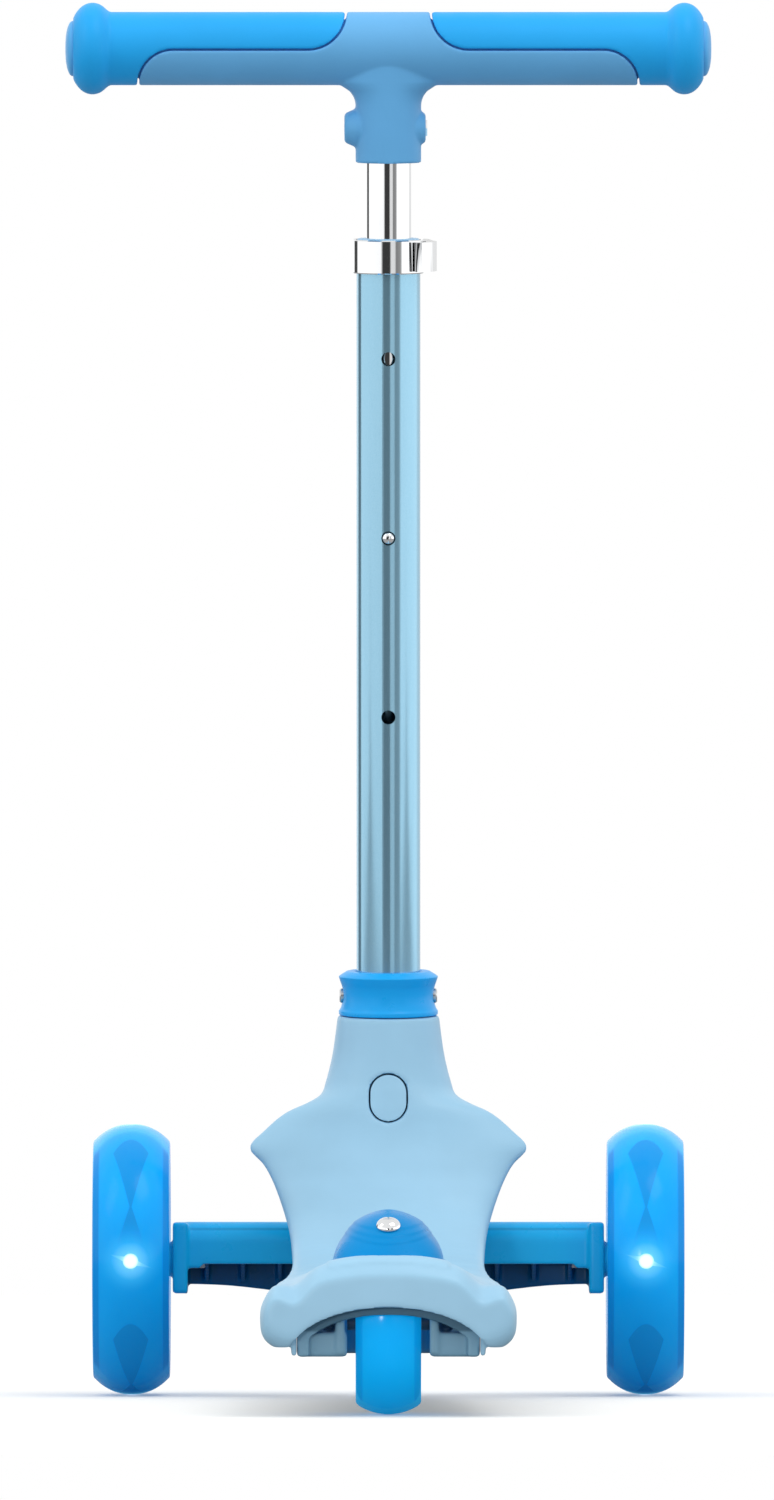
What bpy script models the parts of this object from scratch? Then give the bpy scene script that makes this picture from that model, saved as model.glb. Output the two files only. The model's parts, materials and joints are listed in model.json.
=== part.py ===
"""Kick scooter for small children: a lean-to-steer deck on three wheels with a lift-out stem.

The scooter rolls towards +Y, +X is the rider's right and +Z is up. The wheels stand on z = 0 and
the origin is the middle of the footprint. Lengths below are millimetres; MM turns them into metres
where meshes are made.
"""
import math

import bmesh
import bpy
import numpy as np
from mathutils import Matrix, Vector

MM = 0.001
GAP = 0.3  # air between two pieces that touch

# ---------------------------------------------------------------- driving dimensions
FRONT_AXLE_Y = 210.0
REAR_AXLE_Y = -216.5
FRONT_R = 60.0  # 120 mm front wheels
REAR_R = 40.0  # 80 mm rear wheel
FRONT_W = 34.0
REAR_W = 28.0
TRACK = 113.7  # middle of a front wheel from the middle plane
AXLE_R = 4.0
BEARING = (4.2, 10.9, 7.0)  # bore radius, outer radius, width

STEM_RAKE = 4.0  # the stem leans back
STEM_FOOT = (0.0, 210.6, 168.0)  # middle of the neck's top face
TUBE_R = 14.15
TUBE_WALL = 1.4
INNER_R = 10.05
INNER_WALL = 1.2
HOLE_PITCH = 79.3
HOLE_R = 3.1

BAR_R = 16.2
BAR_CORE_R = 12.4
BULB_R = 20.3
BAR_HALF = 139.6

PIVOT_TILT = 35.0  # the steering axis leans forward from the vertical
PIVOT_AT = (0.0, 210.0, 66.0)
SEGMENTS = 20
FEW = 12  # sides of small round pieces and holes

# heights along the stem, from the neck's top face
TUBE_FOOT_H = -65.0
TUBE_TOP_H = 341.8
CLAMP_H = (329.3, 344.3)
MID_HOLE_H = 212.5
INNER_FOOT_H = 182.0
SOCKET_TOP_H = 423.0
BAR_H = 428.6
SOCKET_FOOT_H = 378.2
CROSS_BOLT_H = 393.5
COLLAR_H = (GAP, 19.8)
COLLAR_BOLT_H = 8.8
RELEASE_H = -34.0

STEM = Matrix.Translation(STEM_FOOT) @ Matrix.Rotation(math.radians(STEM_RAKE), 4, "X")
PIVOT = Matrix.Translation(PIVOT_AT) @ Matrix.Rotation(math.radians(-PIVOT_TILT), 4, "X")
ALONG_X = Matrix.Rotation(math.radians(90), 4, "Y")
ALONG_BACK = Matrix.Rotation(math.radians(90), 4, "X")


# ---------------------------------------------------------------- scene and materials
for old in list(bpy.data.objects):
    bpy.data.objects.remove(old)
PARTS = bpy.data.collections.new("kick_scooter")
CUTTERS = bpy.data.collections.new("cutters")
for collection in (PARTS, CUTTERS):
    bpy.context.scene.collection.children.link(collection)


def material(name, colour, roughness, metallic=0.0):
    """A Principled material."""
    made = bpy.data.materials.new(name)
    made.use_nodes = True
    shader = made.node_tree.nodes["Principled BSDF"]
    shader.inputs["Base Color"].default_value = (*colour, 1.0)
    shader.inputs["Roughness"].default_value = roughness
    shader.inputs["Metallic"].default_value = metallic
    return made


SHELL_BLUE = material("shell_blue", (0.38, 0.66, 0.86), 0.40)
AZURE = material("azure_plastic", (0.03, 0.35, 0.87), 0.35)
AZURE_GRIP = material("azure_grip", (0.04, 0.38, 0.92), 0.50)
STEEL_BLUE = material("bar_blue", (0.08, 0.30, 0.60), 0.45)
CLEAR_AZURE = material("clear_azure", (0.03, 0.36, 0.90), 0.15)
HUB_WHITE = material("hub_plastic", (0.55, 0.78, 0.95), 0.30)
TUBE_BLUE = material("tube_blue", (0.33, 0.60, 0.79), 0.28, 0.2)
CHROME = material("chrome", (0.80, 0.81, 0.82), 0.08, 1.0)
STEEL = material("steel", (0.60, 0.61, 0.62), 0.30, 1.0)
NYLON = material("nylon", (0.80, 0.82, 0.84), 0.50)
RUBBER = material("rubber", (0.04, 0.04, 0.045), 0.70)


# ---------------------------------------------------------------- making and cutting
def add(name, mesh, mat, place=None):
    """A named sub-part of the scooter. place is a matrix in millimetres."""
    obj = bpy.data.objects.new(name, mesh)
    PARTS.objects.link(obj)
    mesh.materials.append(mat)
    if place is not None:
        obj.matrix_world = in_metres(place)
    return obj


def in_metres(place):
    """The same placement with its shift in metres."""
    made = place.copy()
    made.translation = place.translation * MM
    return made


def tool(mesh, place=None):
    """A shape that cuts or joins another."""
    obj = bpy.data.objects.new("tool", mesh)
    CUTTERS.objects.link(obj)
    if place is not None:
        obj.matrix_world = in_metres(place)
    obj.hide_render = True
    obj.display_type = "WIRE"
    return obj


def combine(obj, other, operation):
    """Cut, join or intersect with another object."""
    step = obj.modifiers.new(operation.lower(), "BOOLEAN")
    step.operation = operation
    step.solver = "EXACT"
    step.object = other
    return obj


def cut(obj, *others):
    for other in others:
        combine(obj, other, "DIFFERENCE")
    return obj


def join(obj, *others):
    for other in others:
        combine(obj, other, "UNION")
    return obj


def finished(bm, name="shape"):
    """A mesh from a bmesh in millimetres, faces out, round faces smooth."""
    bmesh.ops.recalc_face_normals(bm, faces=bm.faces)
    bmesh.ops.scale(bm, vec=(MM, MM, MM), verts=bm.verts)
    mesh = bpy.data.meshes.new(name)
    bm.to_mesh(mesh)
    bm.free()
    mesh.shade_smooth()
    mesh.set_sharp_from_angle(angle=math.radians(35))
    return mesh


def block(low, high, bevel=0.0):
    """A box between two corners, with its edges rounded by bevel."""
    bm = bmesh.new()
    bmesh.ops.create_cube(bm, size=1.0)
    size = [b - a for a, b in zip(low, high)]
    middle = [(a + b) / 2 for a, b in zip(low, high)]
    bmesh.ops.scale(bm, vec=size, verts=bm.verts)
    bmesh.ops.translate(bm, vec=middle, verts=bm.verts)
    if bevel:
        bmesh.ops.bevel(bm, geom=bm.edges[:], offset=bevel, segments=1, profile=0.5, affect="EDGES")
    return finished(bm)


def rod(radius, low, high, segments=SEGMENTS):
    """A cylinder on the Z axis between two heights."""
    bm = bmesh.new()
    bmesh.ops.create_cone(
        bm, cap_ends=True, segments=segments, radius1=radius, radius2=radius, depth=high - low,
    )
    bmesh.ops.translate(bm, vec=(0, 0, (low + high) / 2), verts=bm.verts)
    return finished(bm)


def turned(name, profile, mat, place, closed=False, steps=SEGMENTS):
    """Turn (radius, height) points about Z. They run down the outer side; a closed one is a ring."""
    bm = bmesh.new()
    verts = [bm.verts.new((r * MM, 0, h * MM)) for r, h in profile]
    pairs = list(zip(verts, verts[1:]))
    if closed:
        pairs.append((verts[-1], verts[0]))
    for a, b in pairs:
        bm.edges.new((a, b))
    mesh = bpy.data.meshes.new(name)
    bm.to_mesh(mesh)
    bm.free()
    obj = add(name, mesh, mat, place)
    screw = obj.modifiers.new("turn", "SCREW")
    screw.steps = steps
    screw.render_steps = steps
    screw.use_merge_vertices = True
    screw.merge_threshold = 0.00001
    screw.use_smooth_shade = True
    return obj


def ring(name, inner, outer, low, high, mat, place, steps=SEGMENTS):
    """A plain turned ring."""
    profile = [(inner, high), (outer, high), (outer, low), (inner, low)]
    return turned(name, profile, mat, place, closed=True, steps=steps)


def plate(outline, thickness, place=None):
    """A flat outline in X and Y, given thickness about its own plane, as a mesh."""
    curve = bpy.data.curves.new("outline", "CURVE")
    curve.dimensions = "2D"
    curve.fill_mode = "BOTH"
    curve.extrude = thickness * MM / 2
    spline = curve.splines.new("POLY")
    spline.points.add(len(outline) - 1)
    for point, (x, y) in zip(spline.points, outline):
        point.co = (x * MM, y * MM, 0, 1)
    spline.use_cyclic_u = True
    return curve_mesh(curve, place)


def curve_mesh(curve, place=None):
    """A curve object as a welded mesh, with the curve removed. place is in millimetres."""
    obj = bpy.data.objects.new("curve", curve)
    CUTTERS.objects.link(obj)
    bpy.context.view_layer.update()
    seen = obj.evaluated_get(bpy.context.evaluated_depsgraph_get())
    mesh = bpy.data.meshes.new_from_object(seen)
    bm = bmesh.new()
    bm.from_mesh(mesh)
    bmesh.ops.remove_doubles(bm, verts=bm.verts, dist=0.00001)
    bmesh.ops.recalc_face_normals(bm, faces=bm.faces)
    if place is not None:
        bm.transform(in_metres(place))
    bm.to_mesh(mesh)
    bm.free()
    bpy.data.objects.remove(obj)
    return mesh


def wire(points, radius, sides=1):
    """A round wire through points, as a mesh. sides is the curve's bevel resolution."""
    curve = bpy.data.curves.new("wire", "CURVE")
    curve.dimensions = "3D"
    curve.bevel_depth = radius * MM
    curve.bevel_resolution = sides
    curve.use_fill_caps = True
    spline = curve.splines.new("POLY")
    spline.points.add(len(points) - 1)
    for point, at in zip(spline.points, points):
        point.co = (*(c * MM for c in at), 1)
    return curve_mesh(curve)


def coil(radius, low, high, turns, per_turn=10):
    """Points of a helix about Z."""
    count = int(turns * per_turn)
    return [
        (
            radius * math.cos(2 * math.pi * i / per_turn),
            radius * math.sin(2 * math.pi * i / per_turn),
            low + (high - low) * i / count,
        )
        for i in range(count + 1)
    ]


def strip(name, path, width, thickness, mat, place):
    """A leaf of spring steel: a path in Y and Z, drawn out along X."""
    bm = bmesh.new()
    rows = [[bm.verts.new((s * width * MM / 2, y * MM, z * MM)) for s in (-1, 1)] for y, z in path]
    for (a, b), (c, d) in zip(rows, rows[1:]):
        bm.faces.new((a, b, d, c))
    mesh = bpy.data.meshes.new(name)
    bm.to_mesh(mesh)
    bm.free()
    obj = add(name, mesh, mat, place)
    thick = obj.modifiers.new("thickness", "SOLIDIFY")
    thick.thickness = thickness * MM
    thick.offset = 0.0
    return obj


def stadium(width, height, per_end=7):
    """The outline of an oval with round ends above and below."""
    radius = width / 2
    straight = height / 2 - radius
    points = []
    for start, middle in ((0, straight), (180, -straight)):
        for i in range(per_end + 1):
            angle = math.radians(start + 180 * i / per_end)
            points.append((radius * math.cos(angle), middle + radius * math.sin(angle)))
    return points


def arc(centre, radius, start, end, count):
    """Points on an arc, with angles in degrees."""
    return [
        (
            centre[0] + radius * math.cos(math.radians(start + (end - start) * i / count)),
            centre[1] + radius * math.sin(math.radians(start + (end - start) * i / count)),
        )
        for i in range(count + 1)
    ]


# ---------------------------------------------------------------- the deck's lofted form
# Each station is a flat section across the deck: the skin's point on the top or back (y, z), the
# point opposite it underneath or in front (y, z), the half width, how far down the section it is
# widest, the fullness of the upper and lower curves, and how deep a valley runs beside the middle.
DECK_STATIONS = (
    (-270.0, 59.6, -270.0, 33.0, 50.8, 0.60, 2.0, 3.2, 9.0),
    (-269.0, 61.6, -269.0, 29.4, 52.6, 0.60, 2.0, 3.6, 9.4),
    (-265.5, 65.4, -265.5, 26.0, 53.9, 0.59, 2.0, 3.8, 8.6),
    (-260.0, 68.0, -260.0, 25.2, 54.6, 0.58, 2.0, 3.8, 7.2),
    (-252.0, 68.0, -252.0, 25.0, 54.6, 0.58, 2.0, 3.8, 5.8),
    (-232.0, 67.6, -232.0, 25.0, 54.3, 0.58, 2.0, 3.8, 4.6),
    (-200.0, 66.2, -200.0, 26.0, 52.8, 0.54, 2.1, 3.6, 3.2),
    (-160.0, 63.6, -160.0, 30.0, 51.4, 0.50, 2.3, 3.6, 1.6),
    (-110.0, 60.4, -110.0, 30.0, 50.2, 0.38, 2.6, 3.6, 0.4),
    (-50.0, 58.0, -50.0, 30.0, 48.8, 0.28, 3.0, 3.6, 0.0),
    (0.0, 57.2, 0.0, 30.0, 47.0, 0.22, 3.2, 3.6, 0.0),
    (48.0, 58.0, 50.0, 30.0, 44.4, 0.16, 3.2, 3.4, 0.0),
    (90.0, 61.2, 106.0, 30.5, 42.4, 0.12, 3.0, 3.0, 0.0),
    (122.0, 67.0, 165.0, 36.0, 42.3, 0.14, 2.8, 2.4, 0.0),
    (146.0, 79.0, 214.0, 48.0, 44.0, 0.14, 2.6, 1.7, 0.0),
    (159.0, 94.5, 238.0, 66.0, 49.4, 0.12, 2.3, 1.35, 0.0),
    (165.5, 104.8, 244.5, 80.0, 54.8, 0.12, 2.1, 1.2, 0.0),
    (169.8, 112.2, 246.0, 92.0, 61.4, 0.12, 1.9, 1.15, 0.0),
    (172.8, 119.2, 244.2, 103.0, 55.0, 0.12, 1.8, 1.22, 0.0),
    (175.2, 126.8, 242.4, 113.0, 45.8, 0.14, 1.8, 1.4, 0.0),
    (176.8, 131.2, 241.0, 120.5, 36.2, 0.18, 1.85, 1.6, 0.0),
    (178.2, 135.2, 239.6, 127.5, 30.0, 0.28, 1.95, 1.75, 0.0),
    (180.2, 140.2, 237.8, 135.5, 27.8, 0.38, 2.0, 1.9, 0.0),
    (184.0, 151.5, 235.2, 150.5, 24.7, 0.48, 2.1, 2.1, 0.0),
    (188.3, 166.44, 232.9, 169.56, 22.4, 0.50, 2.1, 2.1, 0.0),
)
# The hollow under the tail, open at the back under a low arch and wide enough for the fork inside.
ARCH_STATIONS = (
    (-280.0, 46.4, -280.0, 12.0, 43.0, 0.62, 2.0, 3.0, 0.0),
    (-264.0, 46.8, -264.0, 12.0, 43.2, 0.62, 2.1, 3.0, 0.0),
    (-258.5, 50.5, -258.5, 12.0, 46.5, 0.25, 3.0, 3.0, 0.0),
    (-246.0, 54.5, -246.0, 12.0, 48.0, 0.25, 4.0, 3.0, 0.0),
    (-186.0, 54.5, -186.0, 12.0, 47.5, 0.25, 4.0, 3.0, 0.0),
    (-182.0, 48.0, -182.0, 12.0, 46.5, 0.20, 4.0, 3.2, 0.0),
    (-152.0, 48.0, -152.0, 12.0, 46.0, 0.20, 4.0, 3.4, 0.0),
)
DECK_AROUND = 24
VALLEY_AT = 40.0
VALLEY_WIDTH = 6.0
RIM_AT = 50.0  # the tail's outer rim, beyond the valley
RIM_WIDTH = 3.5
RIM_SHARE = 0.5


def between(stations, steps):
    """Stations with steps spans between each two given ones, on smooth curves."""
    table = np.array(stations)
    count = len(table)
    rows = []
    for i in range(count - 1):
        before, a, b, after = (table[max(i - 1, 0)], table[i], table[i + 1], table[min(i + 2, count - 1)])
        for k in range(steps):
            t = k / steps
            slope_a = (b - before) / 2
            slope_b = (after - a) / 2
            rows.append(
                a * (2 * t**3 - 3 * t**2 + 1) + b * (3 * t**2 - 2 * t**3)
                + slope_a * (t**3 - 2 * t**2 + t) + slope_b * (t**3 - t**2)
            )
    rows.append(table[-1])
    return rows


def section_points(station, around):
    """The points round one station, counted from the right edge over the top."""
    ty, tz, by, bz, width, widest, full_top, full_low, valley = station
    top = Vector((0, ty, tz))
    down = Vector((0, by - ty, bz - tz))
    points = []
    for i in range(around):
        angle = 2 * math.pi * i / around
        c, s = math.cos(angle), math.sin(angle)
        full = full_top if s >= 0 else full_low
        x = width * math.copysign(abs(c) ** (2 / full), c)
        rise = abs(s) ** (2 / full)
        depth = widest * (1 - rise) if s >= 0 else widest + (1 - widest) * rise
        dip = math.exp(-(((abs(x) - VALLEY_AT) / VALLEY_WIDTH) ** 2))
        dip -= RIM_SHARE * math.exp(-(((abs(x) - RIM_AT) / RIM_WIDTH) ** 2))
        dip *= valley * rise if s >= 0 else 0.0
        points.append(Vector((x, 0, 0)) + top + down * depth - Vector((0, 0, dip)))
    return points


def loft(stations, around):
    """A closed body through stations."""
    bm = bmesh.new()
    rings = [[bm.verts.new(p) for p in section_points(s, around)] for s in stations]
    for low, high in zip(rings, rings[1:]):
        for i in range(around):
            j = (i + 1) % around
            bm.faces.new((low[i], low[j], high[j], high[i]))
    bm.faces.new(rings[0])
    bm.faces.new(list(reversed(rings[-1])))
    bmesh.ops.triangulate(bm, faces=bm.faces)  # twisted quads would upset a Boolean
    return finished(bm)


def cavity_stations(first, last, wall, floor):
    """Stations of the hollow under the deck between two lengths along it."""
    made = []
    for row in between(DECK_STATIONS, 1):
        if first <= row[0] <= last:
            low = (floor, row[4] - wall, row[5], row[6], 5.0, row[8])
            made.append((row[0], row[1] - wall, row[2], *low))
    return made


# ---------------------------------------------------------------- deck
RELEASE_POCKET = (17.8, 21.7)
RELEASE_BUTTON = (16.6, 20.5)
RELEASE_BACK = -26.8  # the button's back, behind the stem's axis
RELEASE_FLOOR = -20.2
PLUNGER_R = 3.2
PIN_TIP = -17.2
OPENING_HALF = 26.0
OPENING_Y = (-259.8, -170.0)
BRAKE_PIN_AT = (-176.0, 60.0)
BRAKE_PIN_R = 1.5
SCREWS = (  # x, y and the top of the post in the deck
    (-21.0, -120.0, 58.6), (21.0, -120.0, 58.6), (-21.0, 55.0, 56.2), (21.0, 55.0, 56.2),
)
UNDER_Z = 25.3
SKIRT_FOOT_Z = 29.7  # the lower edge of the tail's sides
RIB_X = (39.15, 41.2)  # the thin ribs beside the frame, inside the tail's sides
RIB_FOOT_Z = 25.6
KING_R = 4.0
HUB_R = 13.0
HUB_T = (-18.0, 10.0)  # the beam's hub along the steering axis


def at_stem(height, turn=None):
    """A placement on the stem at a height along it."""
    place = STEM @ Matrix.Translation((0, 0, height))
    return place @ turn if turn else place


def tunnel_tool():
    """The space in which the axle beam swings: higher towards the sides."""
    outline = [(-90, 10), (90, 10), (90, 99), (30, 88), (0, 79.3), (-30, 88), (-90, 99)]
    stand = Matrix.Translation((0, 217.0, 0)) @ Matrix.Rotation(math.radians(90), 4, "X")
    return tool(plate(outline, 86.0, stand))


def make_deck():
    body = add("deck_shell", loft(between(DECK_STATIONS, 1), DECK_AROUND), SHELL_BLUE)
    cut(body, tool(loft(ARCH_STATIONS, 16)))
    cut(body, tool(block((-70, -290, 10), (70, -176, SKIRT_FOOT_Z))))
    for side in (-1, 1):
        inner, outer = sorted((side * RIB_X[0], side * RIB_X[1]))
        join(body, tool(block((inner, -263, RIB_FOOT_Z), (outer, -238, 54.0))))
    cut(body, tool(loft(cavity_stations(-165, 125, 4.0, 14.0), 16)))
    slot = [(OPENING_HALF * x, y) for x, y in ((-1, OPENING_Y[1]), (1, OPENING_Y[1]))]
    back = [
        (OPENING_HALF * math.cos(a), OPENING_Y[0] + 20 - 20 * math.sin(a))
        for a in np.linspace(0, math.pi, 11)
    ]
    cut(body, tool(plate(slot + back, 90.0, Matrix.Translation((0, 0, 60.0)))))
    cut(body, tunnel_tool())
    cut(body, tool(block((-14.5, 95, 10), (14.5, 180, 56))))
    cut(body, tool(rod(HUB_R + 1.2, HUB_T[0] - 20, HUB_T[1] + 1, 16), PIVOT))
    cut(body, tool(rod(KING_R + 0.2, 0, 25, FEW), PIVOT))
    cut(body, tool(rod(8.0, 20.0, 30.0, FEW), PIVOT))
    cut(body, tool(rod(TUBE_R + GAP, TUBE_FOOT_H - 1.5, 20), STEM))
    pocket = plate(stadium(*RELEASE_POCKET), 40.0)
    into_neck = at_stem(RELEASE_H) @ Matrix.Translation((0, RELEASE_FLOOR - 20, 0)) @ ALONG_BACK
    cut(body, tool(pocket, into_neck))
    cut(body, tool(rod(PLUNGER_R + 0.5, 5, -RELEASE_FLOOR + 1, FEW), at_stem(RELEASE_H, ALONG_BACK)))
    pin_hole = Matrix.Translation((0, *BRAKE_PIN_AT)) @ ALONG_X
    cut(body, tool(rod(BRAKE_PIN_R + 0.2, -33, 33, 8), pin_hole))
    for x, y, top in SCREWS:
        at = Matrix.Translation((x, y, 0))
        join(body, tool(rod(5.0, 29.3, top, 8), at))
        cut(body, tool(rod(2.2, 20, 43, 8), at))
    return body


def make_underframe():
    """The moulded frame under the deck: rear fork, floor plate and lower steering lug."""
    frame = add("underframe", block((-30, -160, UNDER_Z), (30, 122, 29.0)), SHELL_BLUE)
    join(frame, tool(block((-38, -176, UNDER_Z), (38, -150, 42.0))))
    for side in (-1, 1):
        inner, outer = sorted((side * 17.6, side * 39.0))
        join(frame, tool(block((inner, -246, UNDER_Z), (outer, -170, 33.6))))
        join(frame, tool(block((inner, -231, 32.0), (outer, -203, 48.5))))
        inner, outer = sorted((side * 33.5, side * 38.8))
        join(frame, tool(block((inner, -262, UNDER_Z), (outer, -240, 35.0))))
    wall = tool(loft([(y, 46.8, y, 12.0, 42.8, 0.62, 2.1, 3.0, 0) for y in (-262.0, -259.4)], 16))
    cut(wall, tool(loft([(y, 42.0, y, 5.0, 39.0, 0.62, 2.1, 3.0, 0) for y in (-270.0, -250.0)], 16)))
    keep = tool(block((-39.0, -270, 29.5), (39.0, -250, 60)))
    combine(wall, keep, "INTERSECT")
    join(frame, wall)
    arm = Matrix.Translation((0, 152, 36.5)) @ Matrix.Rotation(math.radians(11.5), 4, "X")
    join(frame, tool(block((-12, -44, -5), (12, 44, 5)), arm))
    join(frame, tool(rod(HUB_R, -30, HUB_T[0] - 1.2, 16), PIVOT))
    cut(frame, tool(rod(KING_R + 0.2, -50, 0, FEW), PIVOT))
    cut(frame, tool(rod(7.8, -60, -29.0, FEW), PIVOT))
    cut(frame, tool(rod(AXLE_R + 0.2, -50, 50, 12), rear_axle_place()))
    for x, y, _ in SCREWS:
        at = Matrix.Translation((x, y, 0))
        cut(frame, tool(rod(2.3, 20, 35, 8), at))
        cut(frame, tool(rod(4.2, 20, 27.4, 8), at))
    return frame


def rear_axle_place():
    return Matrix.Translation((0, REAR_AXLE_Y, REAR_R)) @ ALONG_X


def make_fasteners():
    for i, (x, y, _) in enumerate(SCREWS, start=1):
        profile = [(0, 42.0), (1.9, 41.0), (1.9, 27.1), (3.9, 27.1), (3.9, 25.9), (0, 25.9)]
        turned(f"underframe_screw_{i}", profile, STEEL, Matrix.Translation((x, y, 0)), steps=8)
    pin = [(0, 26.5), (KING_R, 26.5), (KING_R, -29.3), (7.0, -29.3), (7.0, -33.5), (0, -33.5)]
    turned("king_pin", pin, STEEL, PIVOT, steps=FEW)
    nut = add("king_pin_nut", rod(6.8, 20.4, 26.2, 6), STEEL, PIVOT)
    cut(nut, tool(rod(KING_R + GAP, 10, 40, FEW), PIVOT))


# ---------------------------------------------------------------- steering
BEAM_Z = 67.3
BEAM_R = 9.3
BEAM_WALL = 3.0
PLATE_X = (88.8, 95.5)
BEAM_BOSS_END = 101.2
BUMPER_X = 24.0


def make_axle_beam():
    """An open-bottomed beam with a round top, end plates that hold the wheels, and the hub."""
    outer = arc((0, BEAM_Z), BEAM_R, 0, 180, 8)
    inner = arc((0, BEAM_Z), BEAM_R - BEAM_WALL, 180, 0, 6)
    outline = (
        [(BEAM_R, 46.5)] + outer + [(-BEAM_R, 58.0), (-BEAM_R + BEAM_WALL, 58.0)]
        + inner + [(BEAM_R - BEAM_WALL, 46.5)]
    )
    stand = Matrix(((0, 0, 1, 0), (1, 0, 0, FRONT_AXLE_Y), (0, 1, 0, 0), (0, 0, 0, 1)))
    beam = add("axle_beam", plate(outline, 2 * PLATE_X[0] + 1, stand), AZURE)
    y = FRONT_AXLE_Y
    for side in (-1, 1):
        low, high = sorted((side * PLATE_X[0], side * PLATE_X[1]))
        join(beam, tool(block((low, y - 11, 45), (high, y + 11, 76.4), 3.0)))
        for x in (36, 58, 80):
            low, high = sorted((side * (x - 1), side * (x + 1)))
            join(beam, tool(block((low, y - 7, 49.5), (high, y + 7, 70))))
        low, high = sorted((side * (PLATE_X[1] - 1), side * BEAM_BOSS_END))
        join(beam, tool(rod(7.5, low, high, FEW), front_axle_place(0)))
    join(beam, tool(rod(HUB_R, *HUB_T, 16), PIVOT))
    cut(beam, tool(rod(KING_R + 1.7, HUB_T[0] - 9, HUB_T[1] + 9, FEW), PIVOT))
    cut(beam, tool(rod(AXLE_R + 0.3, 74, 110, 12), front_axle_place(0)))
    cut(beam, tool(rod(AXLE_R + 0.3, -110, -74, 12), front_axle_place(0)))
    middle = (HUB_T[0] + HUB_T[1]) / 2
    for name, low, high in (
        ("pivot_bush_lower", HUB_T[0] + GAP, middle - GAP),
        ("pivot_bush_upper", middle + GAP, HUB_T[1] - GAP),
    ):
        ring(name, KING_R + 0.2, KING_R + 1.4, low, high, NYLON, PIVOT, FEW)
    for side, name in ((-1, "steering_bumper_left"), (1, "steering_bumper_right")):
        at = Matrix.Translation((side * BUMPER_X, FRONT_AXLE_Y, 0))
        profile = [(0, 83.6), (4.6, 83.6), (6.0, 80.4), (5.2, 76.9), (0, 76.9)]
        turned(name, profile, RUBBER, at, steps=FEW)


def front_axle_place(x):
    return Matrix.Translation((x, FRONT_AXLE_Y, FRONT_R)) @ ALONG_X


# ---------------------------------------------------------------- wheels
def tyre_profile(radius, width, tread_r, bore):
    """The section of a cast tyre: one arc across the tread, with a small rounding at each shoulder."""
    half = width / 2
    flat = 2.0
    top = math.sqrt(tread_r**2 - flat**2)
    curve = [(radius - top + math.sqrt(tread_r**2 - x**2), x) for x in np.linspace(flat, half - 0.8, 4)]
    curve.append((curve[-1][0] - 1.3, half))
    outer = list(reversed(curve)) + [(r, -x) for r, x in curve]
    return [(bore, half - 2.0)] + outer + [(bore, -half + 2.0)]


def make_wheel(prefix, place, radius, width, tread_r, hub_r, steps, light):
    """A wheel about the local Z axis, whose +Z side is the outer face."""
    hub_half = width / 2 - 4.5
    profile = tyre_profile(radius, width, tread_r, hub_r + GAP)
    turned(f"{prefix}_tyre", profile, CLEAR_AZURE, place, closed=True, steps=steps)
    seat = BEARING[1] + 0.2
    deep = 5.2
    hub = [
        (seat, hub_half), (hub_r - 5, hub_half), (hub_r, hub_half - 3), (hub_r, -hub_half + 3),
        (hub_r - 5, -hub_half), (seat, -hub_half), (seat, -deep), (9.2, -deep), (9.2, deep), (seat, deep),
    ]
    if light:
        groove = [(21.4, -hub_half), (21.4, -hub_half + 6.4), (14.4, -hub_half + 6.4), (14.4, -hub_half)]
        hub[5:5] = groove
        ring(f"{prefix}_light_ring", 14.7, 21.1, -hub_half + 0.6, -hub_half + 6.1, NYLON, place, 16)
        ring(f"{prefix}_magnet", AXLE_R + 0.1, 8.8, -4.8, 4.8, STEEL, place, FEW)
    turned(f"{prefix}_hub", hub, HUB_WHITE, place, closed=True, steps=16)
    bore, outer, thick = BEARING
    for name, low in (("bearing_inner", -deep - thick), ("bearing_outer", deep)):
        ring(f"{prefix}_{name}", bore, outer, low, low + thick, STEEL, place, FEW)


def make_wheels():
    for side, name in ((-1, "left"), (1, "right")):
        outwards = ALONG_X if side > 0 else Matrix.Rotation(math.radians(-90), 4, "Y")
        place = Matrix.Translation((side * TRACK, FRONT_AXLE_Y, FRONT_R)) @ outwards
        make_wheel(f"front_{name}", place, FRONT_R, FRONT_W, 22.0, 34.0, 24, True)
        bolt = [
            (0, 16.4), (5.0, 16.4), (6.6, 14.6), (6.6, 12.6), (AXLE_R, 12.6), (AXLE_R, -34.0), (0, -34.0),
        ]
        turned(f"front_{name}_axle", bolt, STEEL, place, steps=FEW)
    place = rear_axle_place()
    make_wheel("rear", place, REAR_R, REAR_W, 24.0, 24.0, 20, False)
    head = [(0, 43.6), (6.4, 43.6), (6.4, 39.4), (AXLE_R, 39.4), (AXLE_R, -42.4), (0, -42.4)]
    turned("rear_axle", head, STEEL, place, steps=FEW)


# ---------------------------------------------------------------- brake
DOME_HALF = 24.4
DOME_EDGE_Z = 64.0
DOME_TOP_Z = 87.0
DOME_SKIN = 1.8
DOME_POWER = 1.75
DOME_FRONT_Y = -172.0
DOME_REAR = 56.0  # degrees behind the wheel's top at which the dome ends
BRAKE_SCREW_TILT = 30.0


def dome_ridge(t):
    """The dome's middle line (y, z) from its back edge, t = 0, to its front edge, t = 1."""
    radius = DOME_TOP_Z - REAR_R
    if t < 0.6:
        angle = math.radians(DOME_REAR * (1 - t / 0.6))
        return REAR_AXLE_Y - radius * math.sin(angle), REAR_R + radius * math.cos(angle)
    s = (t - 0.6) / 0.4
    y = REAR_AXLE_Y + (DOME_FRONT_Y - REAR_AXLE_Y) * s
    return y, DOME_TOP_Z - (DOME_TOP_Z - DOME_EDGE_Z - 2.6) * s**2 * (2 - s**2)


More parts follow.
